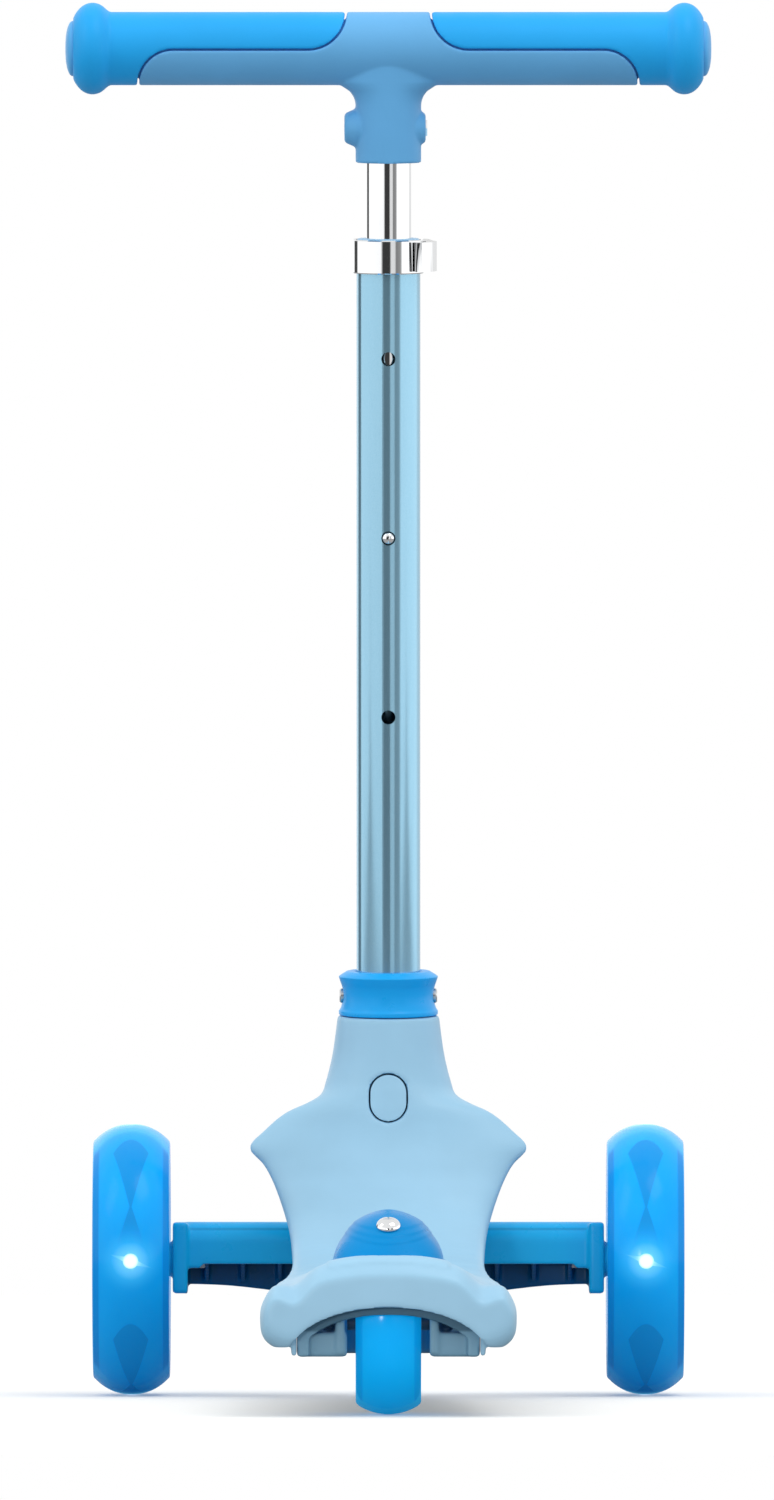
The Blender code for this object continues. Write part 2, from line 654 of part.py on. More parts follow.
def make_brake():
    rows, across = 10, 10
    bm = bmesh.new()
    grid = []
    for i in range(rows + 1):
        y, top = dome_ridge(i / rows)
        back = max(0.0, (-236.0 - y) / 20.0)
        half = DOME_HALF * math.sqrt(max(0.05, 1 - (0.86 * back) ** 2))
        line = []
        for k in range(across + 1):
            v = math.sin(math.pi / 2 * (2 * k / across - 1))
            z = DOME_EDGE_Z + (top - DOME_EDGE_Z) * math.sqrt(1 - abs(v) ** DOME_POWER)
            line.append(bm.verts.new((v * half, y, z)))
        grid.append(line)
    for low, high in zip(grid, grid[1:]):
        for k in range(across):
            bm.faces.new((low[k], low[k + 1], high[k + 1], high[k]))
    mesh = finished(bm)
    pedal = add("brake_pedal", mesh, AZURE)
    skin = pedal.modifiers.new("skin", "SOLIDIFY")
    skin.thickness = DOME_SKIN * MM
    skin.offset = -1.0
    pin = Matrix.Translation((0, *BRAKE_PIN_AT)) @ ALONG_X
    y, z = BRAKE_PIN_AT
    for x in (-12.5, 9.0):
        join(pedal, tool(block((x, y - 2.4, z), (x + 3.5, y + 2.4, 65.4))))
        join(pedal, tool(rod(3.4, x, x + 3.5, FEW), pin))
    cut(pedal, tool(rod(BRAKE_PIN_R + 0.2, -30, 30, 8), pin))
    cut(pedal, tool(rod(2.1, 35, 60, 8), brake_screw_place()))
    add("brake_pin", rod(BRAKE_PIN_R, -31, 31, 8), STEEL, pin)
    make_brake_pad()
    tip = 42.0
    head = [(0, 50.2), (2.6, 49.8), (4.6, 48.6), (5.2, 47.4), (1.8, 47.2), (1.8, tip), (0, tip)]
    turned("brake_screw", head, CHROME, brake_screw_place(), steps=FEW)
    points = coil(2.7, -3.2, 3.2, 3, 7)
    add("brake_spring", wire(points, 0.5), STEEL, pin)


def brake_screw_place():
    """Along the wheel's radius that leans back to the dome's screw."""
    turn = Matrix.Rotation(math.radians(BRAKE_SCREW_TILT), 4, "X")
    return Matrix.Translation((0, REAR_AXLE_Y, REAR_R)) @ turn


def make_brake_pad():
    """A steel shoe bent round the tread, with a gap to it."""
    outline = arc((0, 0), 42.6, 86, 120, 6) + arc((0, 0), 41.7, 120, 86, 6)
    stand = Matrix(((0, 0, 1, 0), (1, 0, 0, REAR_AXLE_Y), (0, 1, 0, REAR_R), (0, 0, 0, 1)))
    pad = add("brake_pad", plate(outline, 14.0, stand), STEEL)
    cut(pad, tool(rod(2.1, 35, 60, 8), brake_screw_place()))


# ---------------------------------------------------------------- stem
def make_stem():
    profile = [
        (TUBE_R - TUBE_WALL, TUBE_TOP_H), (TUBE_R, TUBE_TOP_H),
        (TUBE_R, TUBE_FOOT_H), (TUBE_R - TUBE_WALL, TUBE_FOOT_H),
    ]
    tube = turned("outer_tube", profile, TUBE_BLUE, STEM, closed=True)
    for step in (-1, 0, 1):
        place = at_stem(MID_HOLE_H + step * HOLE_PITCH, ALONG_BACK)
        cut(tube, tool(rod(HOLE_R, 8, 20, FEW), place))
    cut(tube, tool(rod(3.5, 8, 20, FEW), at_stem(RELEASE_H, ALONG_BACK)))
    cut(tube, tool(rod(2.3, -20, 20, 8), at_stem(COLLAR_BOLT_H, ALONG_X)))
    inside = TUBE_R - TUBE_WALL - 0.05
    low, high = TUBE_TOP_H - 32, TUBE_TOP_H + 1.6
    bush = [
        (INNER_R + 0.05, high), (TUBE_R, high), (TUBE_R, TUBE_TOP_H + GAP),
        (inside, TUBE_TOP_H + GAP), (inside, low), (INNER_R + 0.05, low),
    ]
    turned("tube_bushing", bush, NYLON, STEM, closed=True)
    make_clamp()
    make_collar()
    pin = [(0, -PIN_TIP), (2.2, -PIN_TIP), (3.1, 16.2), (3.1, 11.5), (4.6, 11.3), (4.6, 9.8), (0, 9.8)]
    turned("stem_pin", pin, STEEL, at_stem(RELEASE_H, ALONG_BACK), steps=FEW)
    leaf = [(-9.1, -30), (-9.1, -40), (2.0, -58), (11.2, -46), (11.6, -30)]
    strip("stem_pin_spring", leaf, 6.0, 0.8, STEEL, STEM)


EARS_Y = 21.0
LEVER_PIVOT = (13.4, EARS_Y)
LEVER_IN_R = 16.7
LEVER_OUT_R = 21.4
CLAMP_R = 16.0


def make_clamp():
    """A split collar with two ears in front, closed by a bolt and a lever that hugs it."""
    low, high = CLAMP_H
    middle = (low + high) / 2
    collar = ring("clamp_collar", TUBE_R + 0.2, CLAMP_R, low, high, CHROME, STEM)
    for side in (-1, 1):
        inner, outer = sorted((side * 1.4, side * 8.2))
        ear = block((inner, 14.7, low + 0.5), (outer, EARS_Y + 5.2, high - 0.5), 1.2)
        join(collar, tool(ear, STEM))
    cut(collar, tool(block((-1.4, 8, low - 1), (1.4, 40, high + 1)), STEM))
    bolt_place = at_stem(middle) @ Matrix.Translation((0, EARS_Y, 0)) @ ALONG_X
    cut(collar, tool(rod(2.7, -20, 20, 8), bolt_place))
    px, py = LEVER_PIVOT
    barrel = at_stem(middle) @ Matrix.Translation((px, py, 0))
    bolt = add("clamp_bolt", rod(2.4, -13.4, px, FEW), STEEL, bolt_place)
    join(bolt, tool(rod(2.2, -5.9, 5.9, FEW), barrel))
    nut = add("clamp_nut", rod(4.6, -13.0, -8.5, FEW), CHROME, bolt_place)
    cut(nut, tool(rod(2.4 + GAP, -30, 0, 8), bolt_place))
    start, end = 22.0, -48.0
    outline = arc((0, 0), LEVER_OUT_R, start, end, 8) + arc((0, 0), LEVER_IN_R, end, start - 6, 8)
    outline += arc((px, py), 4.6, 285, 10, 8)
    lever = add("clamp_lever", plate(outline, high - low - 2.0), CHROME, at_stem(middle))
    cut(lever, tool(rod(7.0, -2.8, 2.8, 16), barrel))
    cut(lever, tool(rod(2.5, -10, 10, FEW), barrel))


def make_collar():
    """The azure collar that seats the stem on the neck."""
    low, high = COLLAR_H
    profile = [
        (TUBE_R + 0.2, high), (18.2, high), (21.9, high - 2.0), (21.4, high - 4.4), (20.2, 10.6),
        (20.4, 6.0), (21.9, 2.2), (21.9, low), (TUBE_R + 0.2, low),
    ]
    collar = turned("stem_collar", profile, AZURE, STEM, closed=True)
    place = at_stem(COLLAR_BOLT_H, ALONG_X)
    cut(collar, tool(rod(2.3, -30, 30, 8), place))
    cut(collar, tool(rod(3.7, -30, -19.2, FEW), place))
    bolt = [(0, 19.8), (2.0, 19.8), (2.0, -19.5), (3.3, -19.5), (3.3, -21.6), (0, -21.6)]
    turned("collar_bolt", bolt, STEEL, place, steps=FEW)


# ---------------------------------------------------------------- handlebar
GRIP_TOP_X = 18.6
GRIP_TURN = 17.0
GRIP_MID_X = 95.0
GRIP_END_TURN = 15.5
SOCKET_R = 14.5


def grip_outline(side, grow=0.0):
    """Where the soft grip covers the bar, seen from behind: its upper half, and all of it at the end."""
    turn = GRIP_TURN + grow
    start = arc((GRIP_TOP_X + GRIP_TURN, GRIP_TURN), turn, 180, 270, 5)
    end = arc((GRIP_MID_X, -GRIP_END_TURN), GRIP_END_TURN - grow, 90, 0, 5)
    left = GRIP_TOP_X - grow
    corner = GRIP_MID_X + GRIP_END_TURN - grow
    points = [(left, 26.0)] + start + end + [(corner, -26.0), (150.0, -26.0), (150.0, 26.0)]
    return [(side * x, z) for x, z in points]


def bar_place():
    """Local Z along the bar to the right."""
    return at_stem(BAR_H, ALONG_X)


def make_handlebar():
    behind = Matrix.Rotation(math.radians(90), 4, "X")
    core = add("handlebar_core", rod(BAR_R, -112, 112), STEEL_BLUE, bar_place())
    for side in (-1, 1):
        low, high = sorted((side * 17.0, side * 160.0))
        space = tool(rod(30.0, low, high), bar_place())
        cut(space, tool(rod(BAR_CORE_R, -170, 170), bar_place()))
        combine(space, tool(plate(grip_outline(side, GAP), 80, behind), at_stem(BAR_H)), "INTERSECT")
        cut(core, space)
    join(core, tool(rod(BAR_CORE_R, -134.5, 134.5), bar_place()))
    join(core, tool(rod(SOCKET_R, SOCKET_FOOT_H, BAR_H - 4), STEM))
    join(core, tool(rod(7.4, -19.6, 16.7, 16), at_stem(CROSS_BOLT_H, ALONG_X)))
    cut(core, tool(rod(INNER_R + GAP, SOCKET_FOOT_H - 2, SOCKET_TOP_H), STEM))
    cut(core, tool(rod(2.7, -30, 30, 8), at_stem(CROSS_BOLT_H, ALONG_X)))
    cut(core, tool(rod(4.4, -30, -16.6, FEW), at_stem(CROSS_BOLT_H, ALONG_X)))
    cut(core, tool(rod(4.4, 14.0, 30, FEW), at_stem(CROSS_BOLT_H, ALONG_X)))
    for side, name in ((-1, "left"), (1, "right")):
        outwards = ALONG_X if side > 0 else Matrix.Rotation(math.radians(-90), 4, "Y")
        place = at_stem(BAR_H, outwards)
        bulb = [
            (12.9, BAR_HALF - 0.4), (15.8, BAR_HALF - 1.9), (18.8, BAR_HALF - 4.5),
            (BULB_R, BAR_HALF - 8.4), (19.2, BAR_HALF - 12), (17.2, BAR_HALF - 14.6),
            (BAR_R, BAR_HALF - 16.4), (BAR_R, 17.0),
            (BAR_CORE_R + 0.2, 17.0), (BAR_CORE_R + 0.2, 135.2), (12.9, 135.2),
        ]
        grip = turned(f"grip_{name}", bulb, AZURE_GRIP, place, closed=True)
        combine(grip, tool(plate(grip_outline(side), 80, behind), at_stem(BAR_H)), "INTERSECT")
        plug = [(0, 142.8), (7.0, 142.3), (11.0, 141.2), (12.4, 139.4), (12.4, 135.6), (0, 135.6)]
        turned(f"grip_end_{name}", plug, SHELL_BLUE, place, steps=16)
    top = SOCKET_TOP_H - 0.5
    tube = ring("inner_tube", INNER_R - INNER_WALL, INNER_R, INNER_FOOT_H, top, CHROME, STEM)
    cut(tube, tool(rod(HOLE_R, 5, 15, FEW), at_stem(MID_HOLE_H, ALONG_BACK)))
    cut(tube, tool(rod(2.7, -15, 15, 8), at_stem(CROSS_BOLT_H, ALONG_X)))
    bolt = [(0, 15.4), (2.4, 15.4), (2.4, -16.9), (4.1, -16.9), (4.1, -19.2), (0, -19.2)]
    turned("handlebar_bolt", bolt, CHROME, at_stem(CROSS_BOLT_H, ALONG_X), steps=FEW)
    nut = add("handlebar_nut", rod(4.0, 14.3, 17.2, 6), CHROME, at_stem(CROSS_BOLT_H, ALONG_X))
    cut(nut, tool(rod(2.4 + GAP, 10, 30, 8), at_stem(CROSS_BOLT_H, ALONG_X)))
    button = [(0, 15.4), (1.6, 15.1), (2.7, 14.0), (2.7, 7.8), (3.9, 7.4), (3.9, 6.4), (0, 6.4)]
    turned("height_button", button, CHROME, at_stem(MID_HOLE_H, ALONG_BACK), steps=FEW)
    leaf = [(-5.8, 217), (-5.8, 207), (1.0, 189), (7.2, 199), (8.0, 212)]
    strip("height_button_spring", leaf, 5.0, 0.8, STEEL, STEM)


# ---------------------------------------------------------------- release button
def make_release():
    """The oval button's face is cut from the neck's own surface, so that it lies flush."""
    button = add("release_button", loft(between(DECK_STATIONS, 1), DECK_AROUND), SHELL_BLUE)
    depth = 40.0
    middle = RELEASE_BACK - depth / 2
    oval = plate(stadium(*RELEASE_BUTTON), depth)
    place = at_stem(RELEASE_H) @ Matrix.Translation((0, middle, 0)) @ ALONG_BACK
    combine(button, tool(oval, place), "INTERSECT")
    plunger = rod(PLUNGER_R, -PIN_TIP + 0.4, -RELEASE_BACK + 1, FEW)
    join(button, tool(plunger, at_stem(RELEASE_H, ALONG_BACK)))
    points = coil(4.9, -RELEASE_FLOOR + 0.8, -RELEASE_BACK - 0.8, 3, 7)
    add("release_spring", wire(points, 0.45), STEEL, at_stem(RELEASE_H, ALONG_BACK))


make_deck()
make_underframe()
make_fasteners()
make_release()
make_axle_beam()
make_wheels()
make_brake()
make_stem()
make_handlebar()
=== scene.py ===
"""The looks of the kick scooter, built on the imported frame. Lengths are millimetres until a mesh is made."""
import json
import math

import bmesh
import bpy
import numpy as np
from mathutils import Matrix, Vector

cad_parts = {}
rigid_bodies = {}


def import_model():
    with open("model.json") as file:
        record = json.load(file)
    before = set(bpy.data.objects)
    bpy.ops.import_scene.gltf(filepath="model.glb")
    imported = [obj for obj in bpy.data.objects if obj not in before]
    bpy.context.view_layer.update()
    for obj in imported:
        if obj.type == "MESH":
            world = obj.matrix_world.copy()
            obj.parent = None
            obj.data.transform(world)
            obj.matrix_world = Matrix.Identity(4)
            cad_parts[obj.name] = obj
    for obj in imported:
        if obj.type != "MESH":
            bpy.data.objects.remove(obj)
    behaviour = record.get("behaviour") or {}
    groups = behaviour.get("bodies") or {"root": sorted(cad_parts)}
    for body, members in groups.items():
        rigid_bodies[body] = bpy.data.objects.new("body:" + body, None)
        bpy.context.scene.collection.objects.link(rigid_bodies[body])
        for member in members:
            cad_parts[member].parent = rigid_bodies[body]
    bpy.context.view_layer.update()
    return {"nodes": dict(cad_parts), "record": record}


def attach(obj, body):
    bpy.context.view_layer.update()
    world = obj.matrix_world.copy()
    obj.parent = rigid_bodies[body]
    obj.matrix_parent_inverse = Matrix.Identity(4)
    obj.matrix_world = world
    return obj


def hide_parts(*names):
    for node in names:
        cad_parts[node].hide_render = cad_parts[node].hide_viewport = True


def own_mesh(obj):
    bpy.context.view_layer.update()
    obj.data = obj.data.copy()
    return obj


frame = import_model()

MM = 0.001
ROUND, FINE_ROUND = 96, 128  # sides of a large round piece, and of a bright one


def moved(x, y, z):
    return Matrix.Translation((x, y, z))


def tilted(degrees, axis):
    return Matrix.Rotation(math.radians(degrees), 4, axis)


# ---------------- sizes shared with the CAD
FRONT_AXLE_Y, FRONT_R, TRACK = 210.0, 60.0, 113.7
REAR_AXLE_Y, REAR_R = -216.5, 40.0
STEM_FOOT = (0.0, 210.6, 168.0)
STEM = moved(*STEM_FOOT) @ tilted(4.0, "X")
PIVOT = moved(0.0, 210.0, 66.0) @ tilted(-35.0, "X")
ALONG_X = tilted(90, "Y")
AGAINST_X = tilted(-90, "Y")
BACKWARDS = tilted(90, "X")  # an outline faces the rear, upright
REAR_AXLE = moved(0, REAR_AXLE_Y, REAR_R) @ ALONG_X
TUBE_R, TUBE_WALL, INNER_R = 14.15, 1.4, 10.05
TUBE_FOOT_H, TUBE_TOP_H = -65.0, 341.8
CLAMP_H = (329.3, 344.3)
MID_HOLE_H, HOLE_PITCH, HOLE_R = 212.5, 79.3, 3.1
SOCKET_TOP_H, BAR_H, SOCKET_FOOT_H, CROSS_BOLT_H = 423.0, 428.6, 378.2, 393.5
BAR_R, BULB_R, BAR_HALF = 16.2, 20.3, 139.6
RELEASE_H, RELEASE_BACK, RELEASE_FLOOR = -34.0, -26.8, -20.2
COLLAR_TOP_H, COLLAR_BOLT_H = 19.8, 8.8
PIVOT_HUB_R, KING_PIN_BORE_R = 13.0, 4.2
AXLE_BORE_R, COLLAR_BORE_R, CROSS_BORE_R = 4.2, 2.3, 2.7


# ---------------- materials
class Value:
    """A number or colour that shader nodes work out, for use in plain arithmetic."""

    def __init__(self, tree, socket):
        self.tree = tree
        self.socket = socket

    def __add__(self, other):
        return maths("ADD", self, other)

    def __sub__(self, other):
        return maths("SUBTRACT", self, other)

    def __rsub__(self, other):
        return maths("SUBTRACT", other, self)

    def __mul__(self, other):
        return maths("MULTIPLY", self, other)

    def __truediv__(self, other):
        return maths("DIVIDE", self, other)

    def __mod__(self, other):
        return maths("FLOORED_MODULO", self, other)

    def __abs__(self):
        return maths("ABSOLUTE", self)


def tree_of(*values):
    return [value.tree for value in values if isinstance(value, Value)][0]


def grey(level):
    return (level,) * 3


def scaled(colour, by):
    return tuple(min(1.0, c * by) for c in colour)


def feed(tree, node, inputs):
    """Give a node's inputs, by name or place, their numbers, colours or values."""
    for name, value in inputs.items():
        into = node.inputs[name]
        if isinstance(value, Value):
            tree.links.new(value.socket, into)
        else:
            into.default_value = (*value, 1.0) if into.type == "RGBA" else value


def maths(operation, *values):
    """One arithmetic node; each value is a number or a Value."""
    tree = tree_of(*values)
    node = tree.nodes.new("ShaderNodeMath")
    node.operation = operation
    feed(tree, node, dict(enumerate(values)))
    return Value(tree, node.outputs[0])


def most(a, b):
    return maths("MAXIMUM", a, b)


def smoothly(value, start, end):
    """0 at the start and 1 at the end, with a soft passage between them."""
    node = value.tree.nodes.new("ShaderNodeMapRange")
    node.interpolation_type = "SMOOTHSTEP"
    feed(value.tree, node, {"Value": value, "From Min": start, "From Max": end})
    return Value(value.tree, node.outputs[0])


def ramp(value, stops):
    """Colours along a value; a single number stands for a grey."""
    node = value.tree.nodes.new("ShaderNodeValToRGB")
    while len(node.color_ramp.elements) < len(stops):
        node.color_ramp.elements.new(0.5)
    for element, (at, colour) in zip(node.color_ramp.elements, stops):
        element.position = at
        element.color = (*(colour if isinstance(colour, tuple) else grey(colour)), 1.0)
    feed(value.tree, node, {"Fac": value})
    return Value(value.tree, node.outputs["Color"])


def tinted(amount, a, b, blend="MIX"):
    """A mix of two colours, each given outright or as a Value."""
    tree = tree_of(amount, a, b)
    node = tree.nodes.new("ShaderNodeMix")
    node.data_type = "RGBA"
    node.blend_type = blend
    for name, value in (("Factor", amount), ("A", a), ("B", b)):
        kind = "VALUE" if name == "Factor" else "RGBA"
        fitting = [k for k, into in enumerate(node.inputs) if into.name == name and into.type == kind]
        feed(tree, node, {fitting[0]: value})
    return Value(tree, [o for o in node.outputs if o.type == "RGBA"][0])


def nodes_of(name):
    mat = bpy.data.materials.new(name)
    mat.use_nodes = True
    tree = mat.node_tree
    return mat, tree, tree.nodes["Principled BSDF"]


def output(tree, kind, name):
    """A new input node's output, by name."""
    return Value(tree, tree.nodes.new(kind).outputs[name])


def axes(tree, space="Object"):
    """X, Y and Z in the object's own space, in metres, or in the world's directions."""
    split = tree.nodes.new("ShaderNodeSeparateXYZ")
    feed(tree, split, {"Vector": output(tree, "ShaderNodeTexCoord", space)})
    return [Value(tree, split.outputs[axis]) for axis in "XYZ"]


def noise(tree, scale, detail=3.0, rough=0.55, stretch=None):
    """A noise in the object's own space."""
    place = output(tree, "ShaderNodeTexCoord", "Object")
    if stretch:
        mapping = tree.nodes.new("ShaderNodeMapping")
        feed(tree, mapping, {"Scale": stretch, "Vector": place})
        place = Value(tree, mapping.outputs["Vector"])
    node = tree.nodes.new("ShaderNodeTexNoise")
    feed(tree, node, {"Scale": scale, "Detail": detail, "Roughness": rough, "Vector": place})
    return Value(tree, node.outputs["Fac"])


def relief(height, strength, depth):
    node = height.tree.nodes.new("ShaderNodeBump")
    feed(height.tree, node, {"Strength": strength, "Distance": depth, "Height": height})
    return Value(height.tree, node.outputs["Normal"])


MOTTLE = 0.035  # how far a moulding's colour wanders
GRAIN_DEPTH, BRUSHED_DEPTH = 0.0001, 0.00005  # metres


def moulded(name, colour, rough, spec=0.35, grain=1400.0, bump=0.12, coat=0.0):
    """Moulded plastic or rubber: a fine orange-peel grain, faint mottling and uneven sheen."""
    mat, tree, shader = nodes_of(name)
    stops = [(0.3, scaled(colour, 1 - MOTTLE)), (0.7, scaled(colour, 1 + MOTTLE))]
    feed(tree, shader, {
        "Base Color": ramp(noise(tree, 28.0), stops),
        "Roughness": ramp(noise(tree, 90.0, 4.0), [(0.3, rough - 0.04), (0.7, rough + 0.05)]),
        "Normal": relief(noise(tree, grain, 2.0), bump, GRAIN_DEPTH),
        "Specular IOR Level": spec,
        "Coat Weight": coat,
        "Coat Roughness": 0.12,
    })
    return mat


def metal(name, colour, rough, brushed=0.0, stretch=(1.0, 1.0, 1.0)):
    """Bare or plated metal, with faint drawing marks where it is brushed."""
    mat, tree, shader = nodes_of(name)
    marks = noise(tree, 900.0, 4.0, 0.6, stretch)
    feed(tree, shader, {
        "Base Color": ramp(noise(tree, 60.0), [(0.3, scaled(colour, 0.97)), (0.7, scaled(colour, 1.02))]),
        "Roughness": ramp(marks, [(0.3, rough), (0.75, rough + 0.05 + brushed * 0.2)]),
        "Metallic": 1.0,
    })
    if brushed:
        feed(tree, shader, {"Normal": relief(marks, brushed, BRUSHED_DEPTH)})
    return mat


def painted_tube():
    """Light-blue metallic paint on a drawn tube."""
    mat, tree, shader = nodes_of("tube_blue")
    flakes = noise(tree, 2600.0, 1.0)
    drawn = noise(tree, 420.0, 3.0, 0.5, (1.0, 1.0, 0.03))
    feed(tree, shader, {
        "Base Color": ramp(flakes, [(0.35, (0.31, 0.58, 0.75)), (0.65, (0.35, 0.62, 0.79))]),
        "Roughness": ramp(drawn, [(0.3, 0.09), (0.7, 0.13)]),
        "Metallic": 0.64,
    })
    return mat


SHELL_BLUE = (0.35, 0.615, 0.815)
AZURE_BLUE = (0.006, 0.43, 0.98)
SHELL = moulded("shell_blue", SHELL_BLUE, 0.38, spec=0.30)
DECK_BLUE = moulded("deck_blue", SHELL_BLUE, 0.38, spec=0.30)
# The underframe is the shell's light blue plastic, darkened with painted shade, as it sits in the deck's
# shadow.
FRAME_BLUE_SHADED = moulded("frame_blue_shaded", (0.20, 0.39, 0.53), 0.45, spec=0.25, bump=0.2)
AZURE = moulded("azure_plastic", AZURE_BLUE, 0.30, spec=0.28)
BEAM_AZURE = moulded("azure_beam", (0.008, 0.54, 1.0), 0.30, spec=0.20)
DOME_AZURE = moulded("azure_pedal", (0.002, 0.27, 0.66), 0.30, spec=0.08)
GRIP = moulded("azure_grip", (0.012, 0.43, 0.97), 0.42, spec=0.25, grain=1900.0, bump=0.15)
END_CAP = moulded("grip_end", (0.10, 0.47, 0.93), 0.40, spec=0.3)
BAR_BLUE = moulded("bar_blue", (0.145, 0.475, 0.86), 0.44, spec=0.25, bump=0.22)
HUB = moulded("hub_plastic", (0.52, 0.76, 0.95), 0.22, spec=0.5, coat=0.3)
NYLON = moulded("nylon", (0.78, 0.80, 0.82), 0.45)
BUSH_BLUE = moulded("bush_blue", (0.33, 0.60, 0.85), 0.35)
RUBBER = moulded("rubber", (0.030, 0.031, 0.034), 0.7)
CHROME = metal("chrome", (0.86, 0.87, 0.88), 0.04)
STEEL = metal("steel", (0.60, 0.61, 0.62), 0.24, brushed=0.3, stretch=(1.0, 1.0, 9.0))
DARK_STEEL = metal("dark_steel", (0.16, 0.17, 0.18), 0.34, brushed=0.2)
TUBE_BLUE = painted_tube()

# The cast tyres. A lit one has four lamps round it, each with a glow, three crossed rays of painted glare and
# a darker hourglass of painted shade.
# Lengths are metres and angles are radians, as the shader has them.
PU_CORE, PU_CORE_PALE = (0.004, 0.40, 0.95), (0.008, 0.44, 1.0)
# Painted in the tyre: shade at its shoulders, a pale sheen where it is seen edge on, and shade in an hourglass
# between lamps, in that order.
PU_SHOULDER_SHADE, PU_EDGE_SHEEN, HOURGLASS_SHADE_BLUE = (0.003, 0.27, 0.72), (0.03, 0.50, 1.0), (0.006, 0.30, 0.72)
# The unlit tyre has no lamp; its glow is painted light.
PU_GLOW, PU_PAINTED_GLOW_UNLIT = (0.0, 0.045, 0.15), (0.0, 0.14, 0.28)  # light that is scattered inside the tyre
LAMP_PITCH = math.pi / 2
LAMP_RAYS = ((-18.0, 0.0130), (52.0, 0.0085), (-76.0, 0.0090))  # degrees across the tread, and length
GLOW_STOPS = [
    (0.0, (0, 0, 0)), (0.2, (0.02, 0.09, 0.10)), (0.45, (0.16, 0.34, 0.32)), (0.75, (0.8, 0.9, 0.9)),
    (1.0, (1, 1, 1)),
]
# The shape of the darker hourglass of painted shade between each two lamps.
HOURGLASS_LEAD, HOURGLASS_WAIST, HOURGLASS_CROWN = 0.3, 0.41, 1.10
HOURGLASS_WAIST_HALF, HOURGLASS_SPREAD, HOURGLASS_FOOT_SPREAD, HOURGLASS_CROWN_BEND = 0.0005, 0.0140, 0.0190, 2500.0
RAY_HALF, HALO_SHARE, RAY_SHARE = 0.0020, 0.42, 0.75


def hourglass_shade(across, turn, reach):
    """Painted shade between lamps, an hourglass: wide beside its lamp, narrow a quarter of the way to the
    next, then wide to a round crown.
    """
    past = (turn + HOURGLASS_LEAD) % LAMP_PITCH - HOURGLASS_LEAD
    from_waist = past - HOURGLASS_WAIST
    half = most(from_waist * HOURGLASS_SPREAD, from_waist * -HOURGLASS_FOOT_SPREAD) + HOURGLASS_WAIST_HALF
    hourglass = smoothly(abs(across) - half, 0.0003, -0.0003) * smoothly(reach, 0.006, 0.020)
    crown = past + across * across * HOURGLASS_CROWN_BEND
    return hourglass * smoothly(crown, HOURGLASS_CROWN, HOURGLASS_CROWN - 0.02) * smoothly(past, 0.02, 0.08)


def lamp_glow(across, along, reach):
    """A lamp's bright core, the halo round it and its rays, which are painted glare."""
    rays = 0.0
    for degrees, length in LAMP_RAYS:
        c, s = math.cos(math.radians(degrees)), math.sin(math.radians(degrees))
        ahead, beside = across * c + along * s, across * -s + along * c
        fall = most(1.0 - abs(ahead) / length, 0.0)
        ray = smoothly(abs(beside) - fall * fall * RAY_HALF, 0.0006, -0.0002)
        rays = most(rays, ray * fall)
    core = smoothly(reach, 0.0048, 0.0020)
    halo = smoothly(reach, 0.0150, 0.0015) * HALO_SHARE
    return most(most(core, rays * RAY_SHARE), halo)


def cast_pu(name, centre, width, lit):
    """Translucent azure polyurethane, with painted shade at the shoulders and a painted sheen where it is seen
    edge on. In a lit wheel the lamps' glow shows through, with a darker hourglass of painted shade between
    lamps.
    """
    mat, tree, shader = nodes_of(name)
    across, y, z = (axis - at * MM for axis, at in zip(axes(tree), centre))
    base = ramp(noise(tree, 35.0, 2.0), [(0.3, PU_CORE), (0.7, PU_CORE_PALE)])
    # the clear skin over the coloured core: painted shade at the shoulders, and a painted sheen where it is
    # seen edge on
    half = width / 2 * MM
    skin = smoothly(abs(across), half - 0.0034, half - 0.0024)
    base = tinted(skin, base, PU_SHOULDER_SHADE)
    edge = tree.nodes.new("ShaderNodeLayerWeight")
    feed(tree, edge, {"Blend": 0.5})
    # painted sheen: paler where the tyre is seen edge on
    edge_sheen = smoothly(Value(tree, edge.outputs["Facing"]), 0.62, 0.70)
    base = tinted(edge_sheen, base, PU_EDGE_SHEEN)
    # the unlit tyre has no lamp: its glow is painted
    glow = PU_PAINTED_GLOW_UNLIT
    if lit:
        radius = maths("SQRT", y * y + z * z)
        turn = maths("ARCTAN2", z, y * -1.0)
        along = ((turn + LAMP_PITCH / 2) % LAMP_PITCH - LAMP_PITCH / 2) * radius
        reach = maths("SQRT", across * across + along * along)
        tread = smoothly(radius, 0.040, 0.054)
        # painted shade, a darker hourglass between each two lamps
        base = tinted(hourglass_shade(across, turn, reach) * tread, base, HOURGLASS_SHADE_BLUE)
        light = ramp(lamp_glow(across, along, reach) * tread, GLOW_STOPS)
        glow = tinted(1.0, light, PU_GLOW, "ADD")
    feed(tree, shader, {
        "Base Color": base,
        "Emission Color": glow,
        "Emission Strength": 1.0,
        "Roughness": 0.16,
        "Specular IOR Level": 0.15,
        "Subsurface Weight": 0.15,
        "Subsurface Radius": (0.0015, 0.004, 0.008),
        "Subsurface Scale": 1.0,
    })
    return mat


def with_painted_shade(mat, colour, where):
    """The material made darker, with painted shade, where a function of the object's X, Y and Z says so."""
    tree = mat.node_tree
    shader = tree.nodes["Principled BSDF"]
    base = Value(tree, shader.inputs["Base Color"].links[0].from_socket)
    feed(tree, shader, {"Base Color": tinted(where(*axes(tree)), base, colour)})
    return mat


# ---------------- shapes
HELPERS = bpy.data.collections.new("helpers")
bpy.context.scene.collection.children.link(HELPERS)


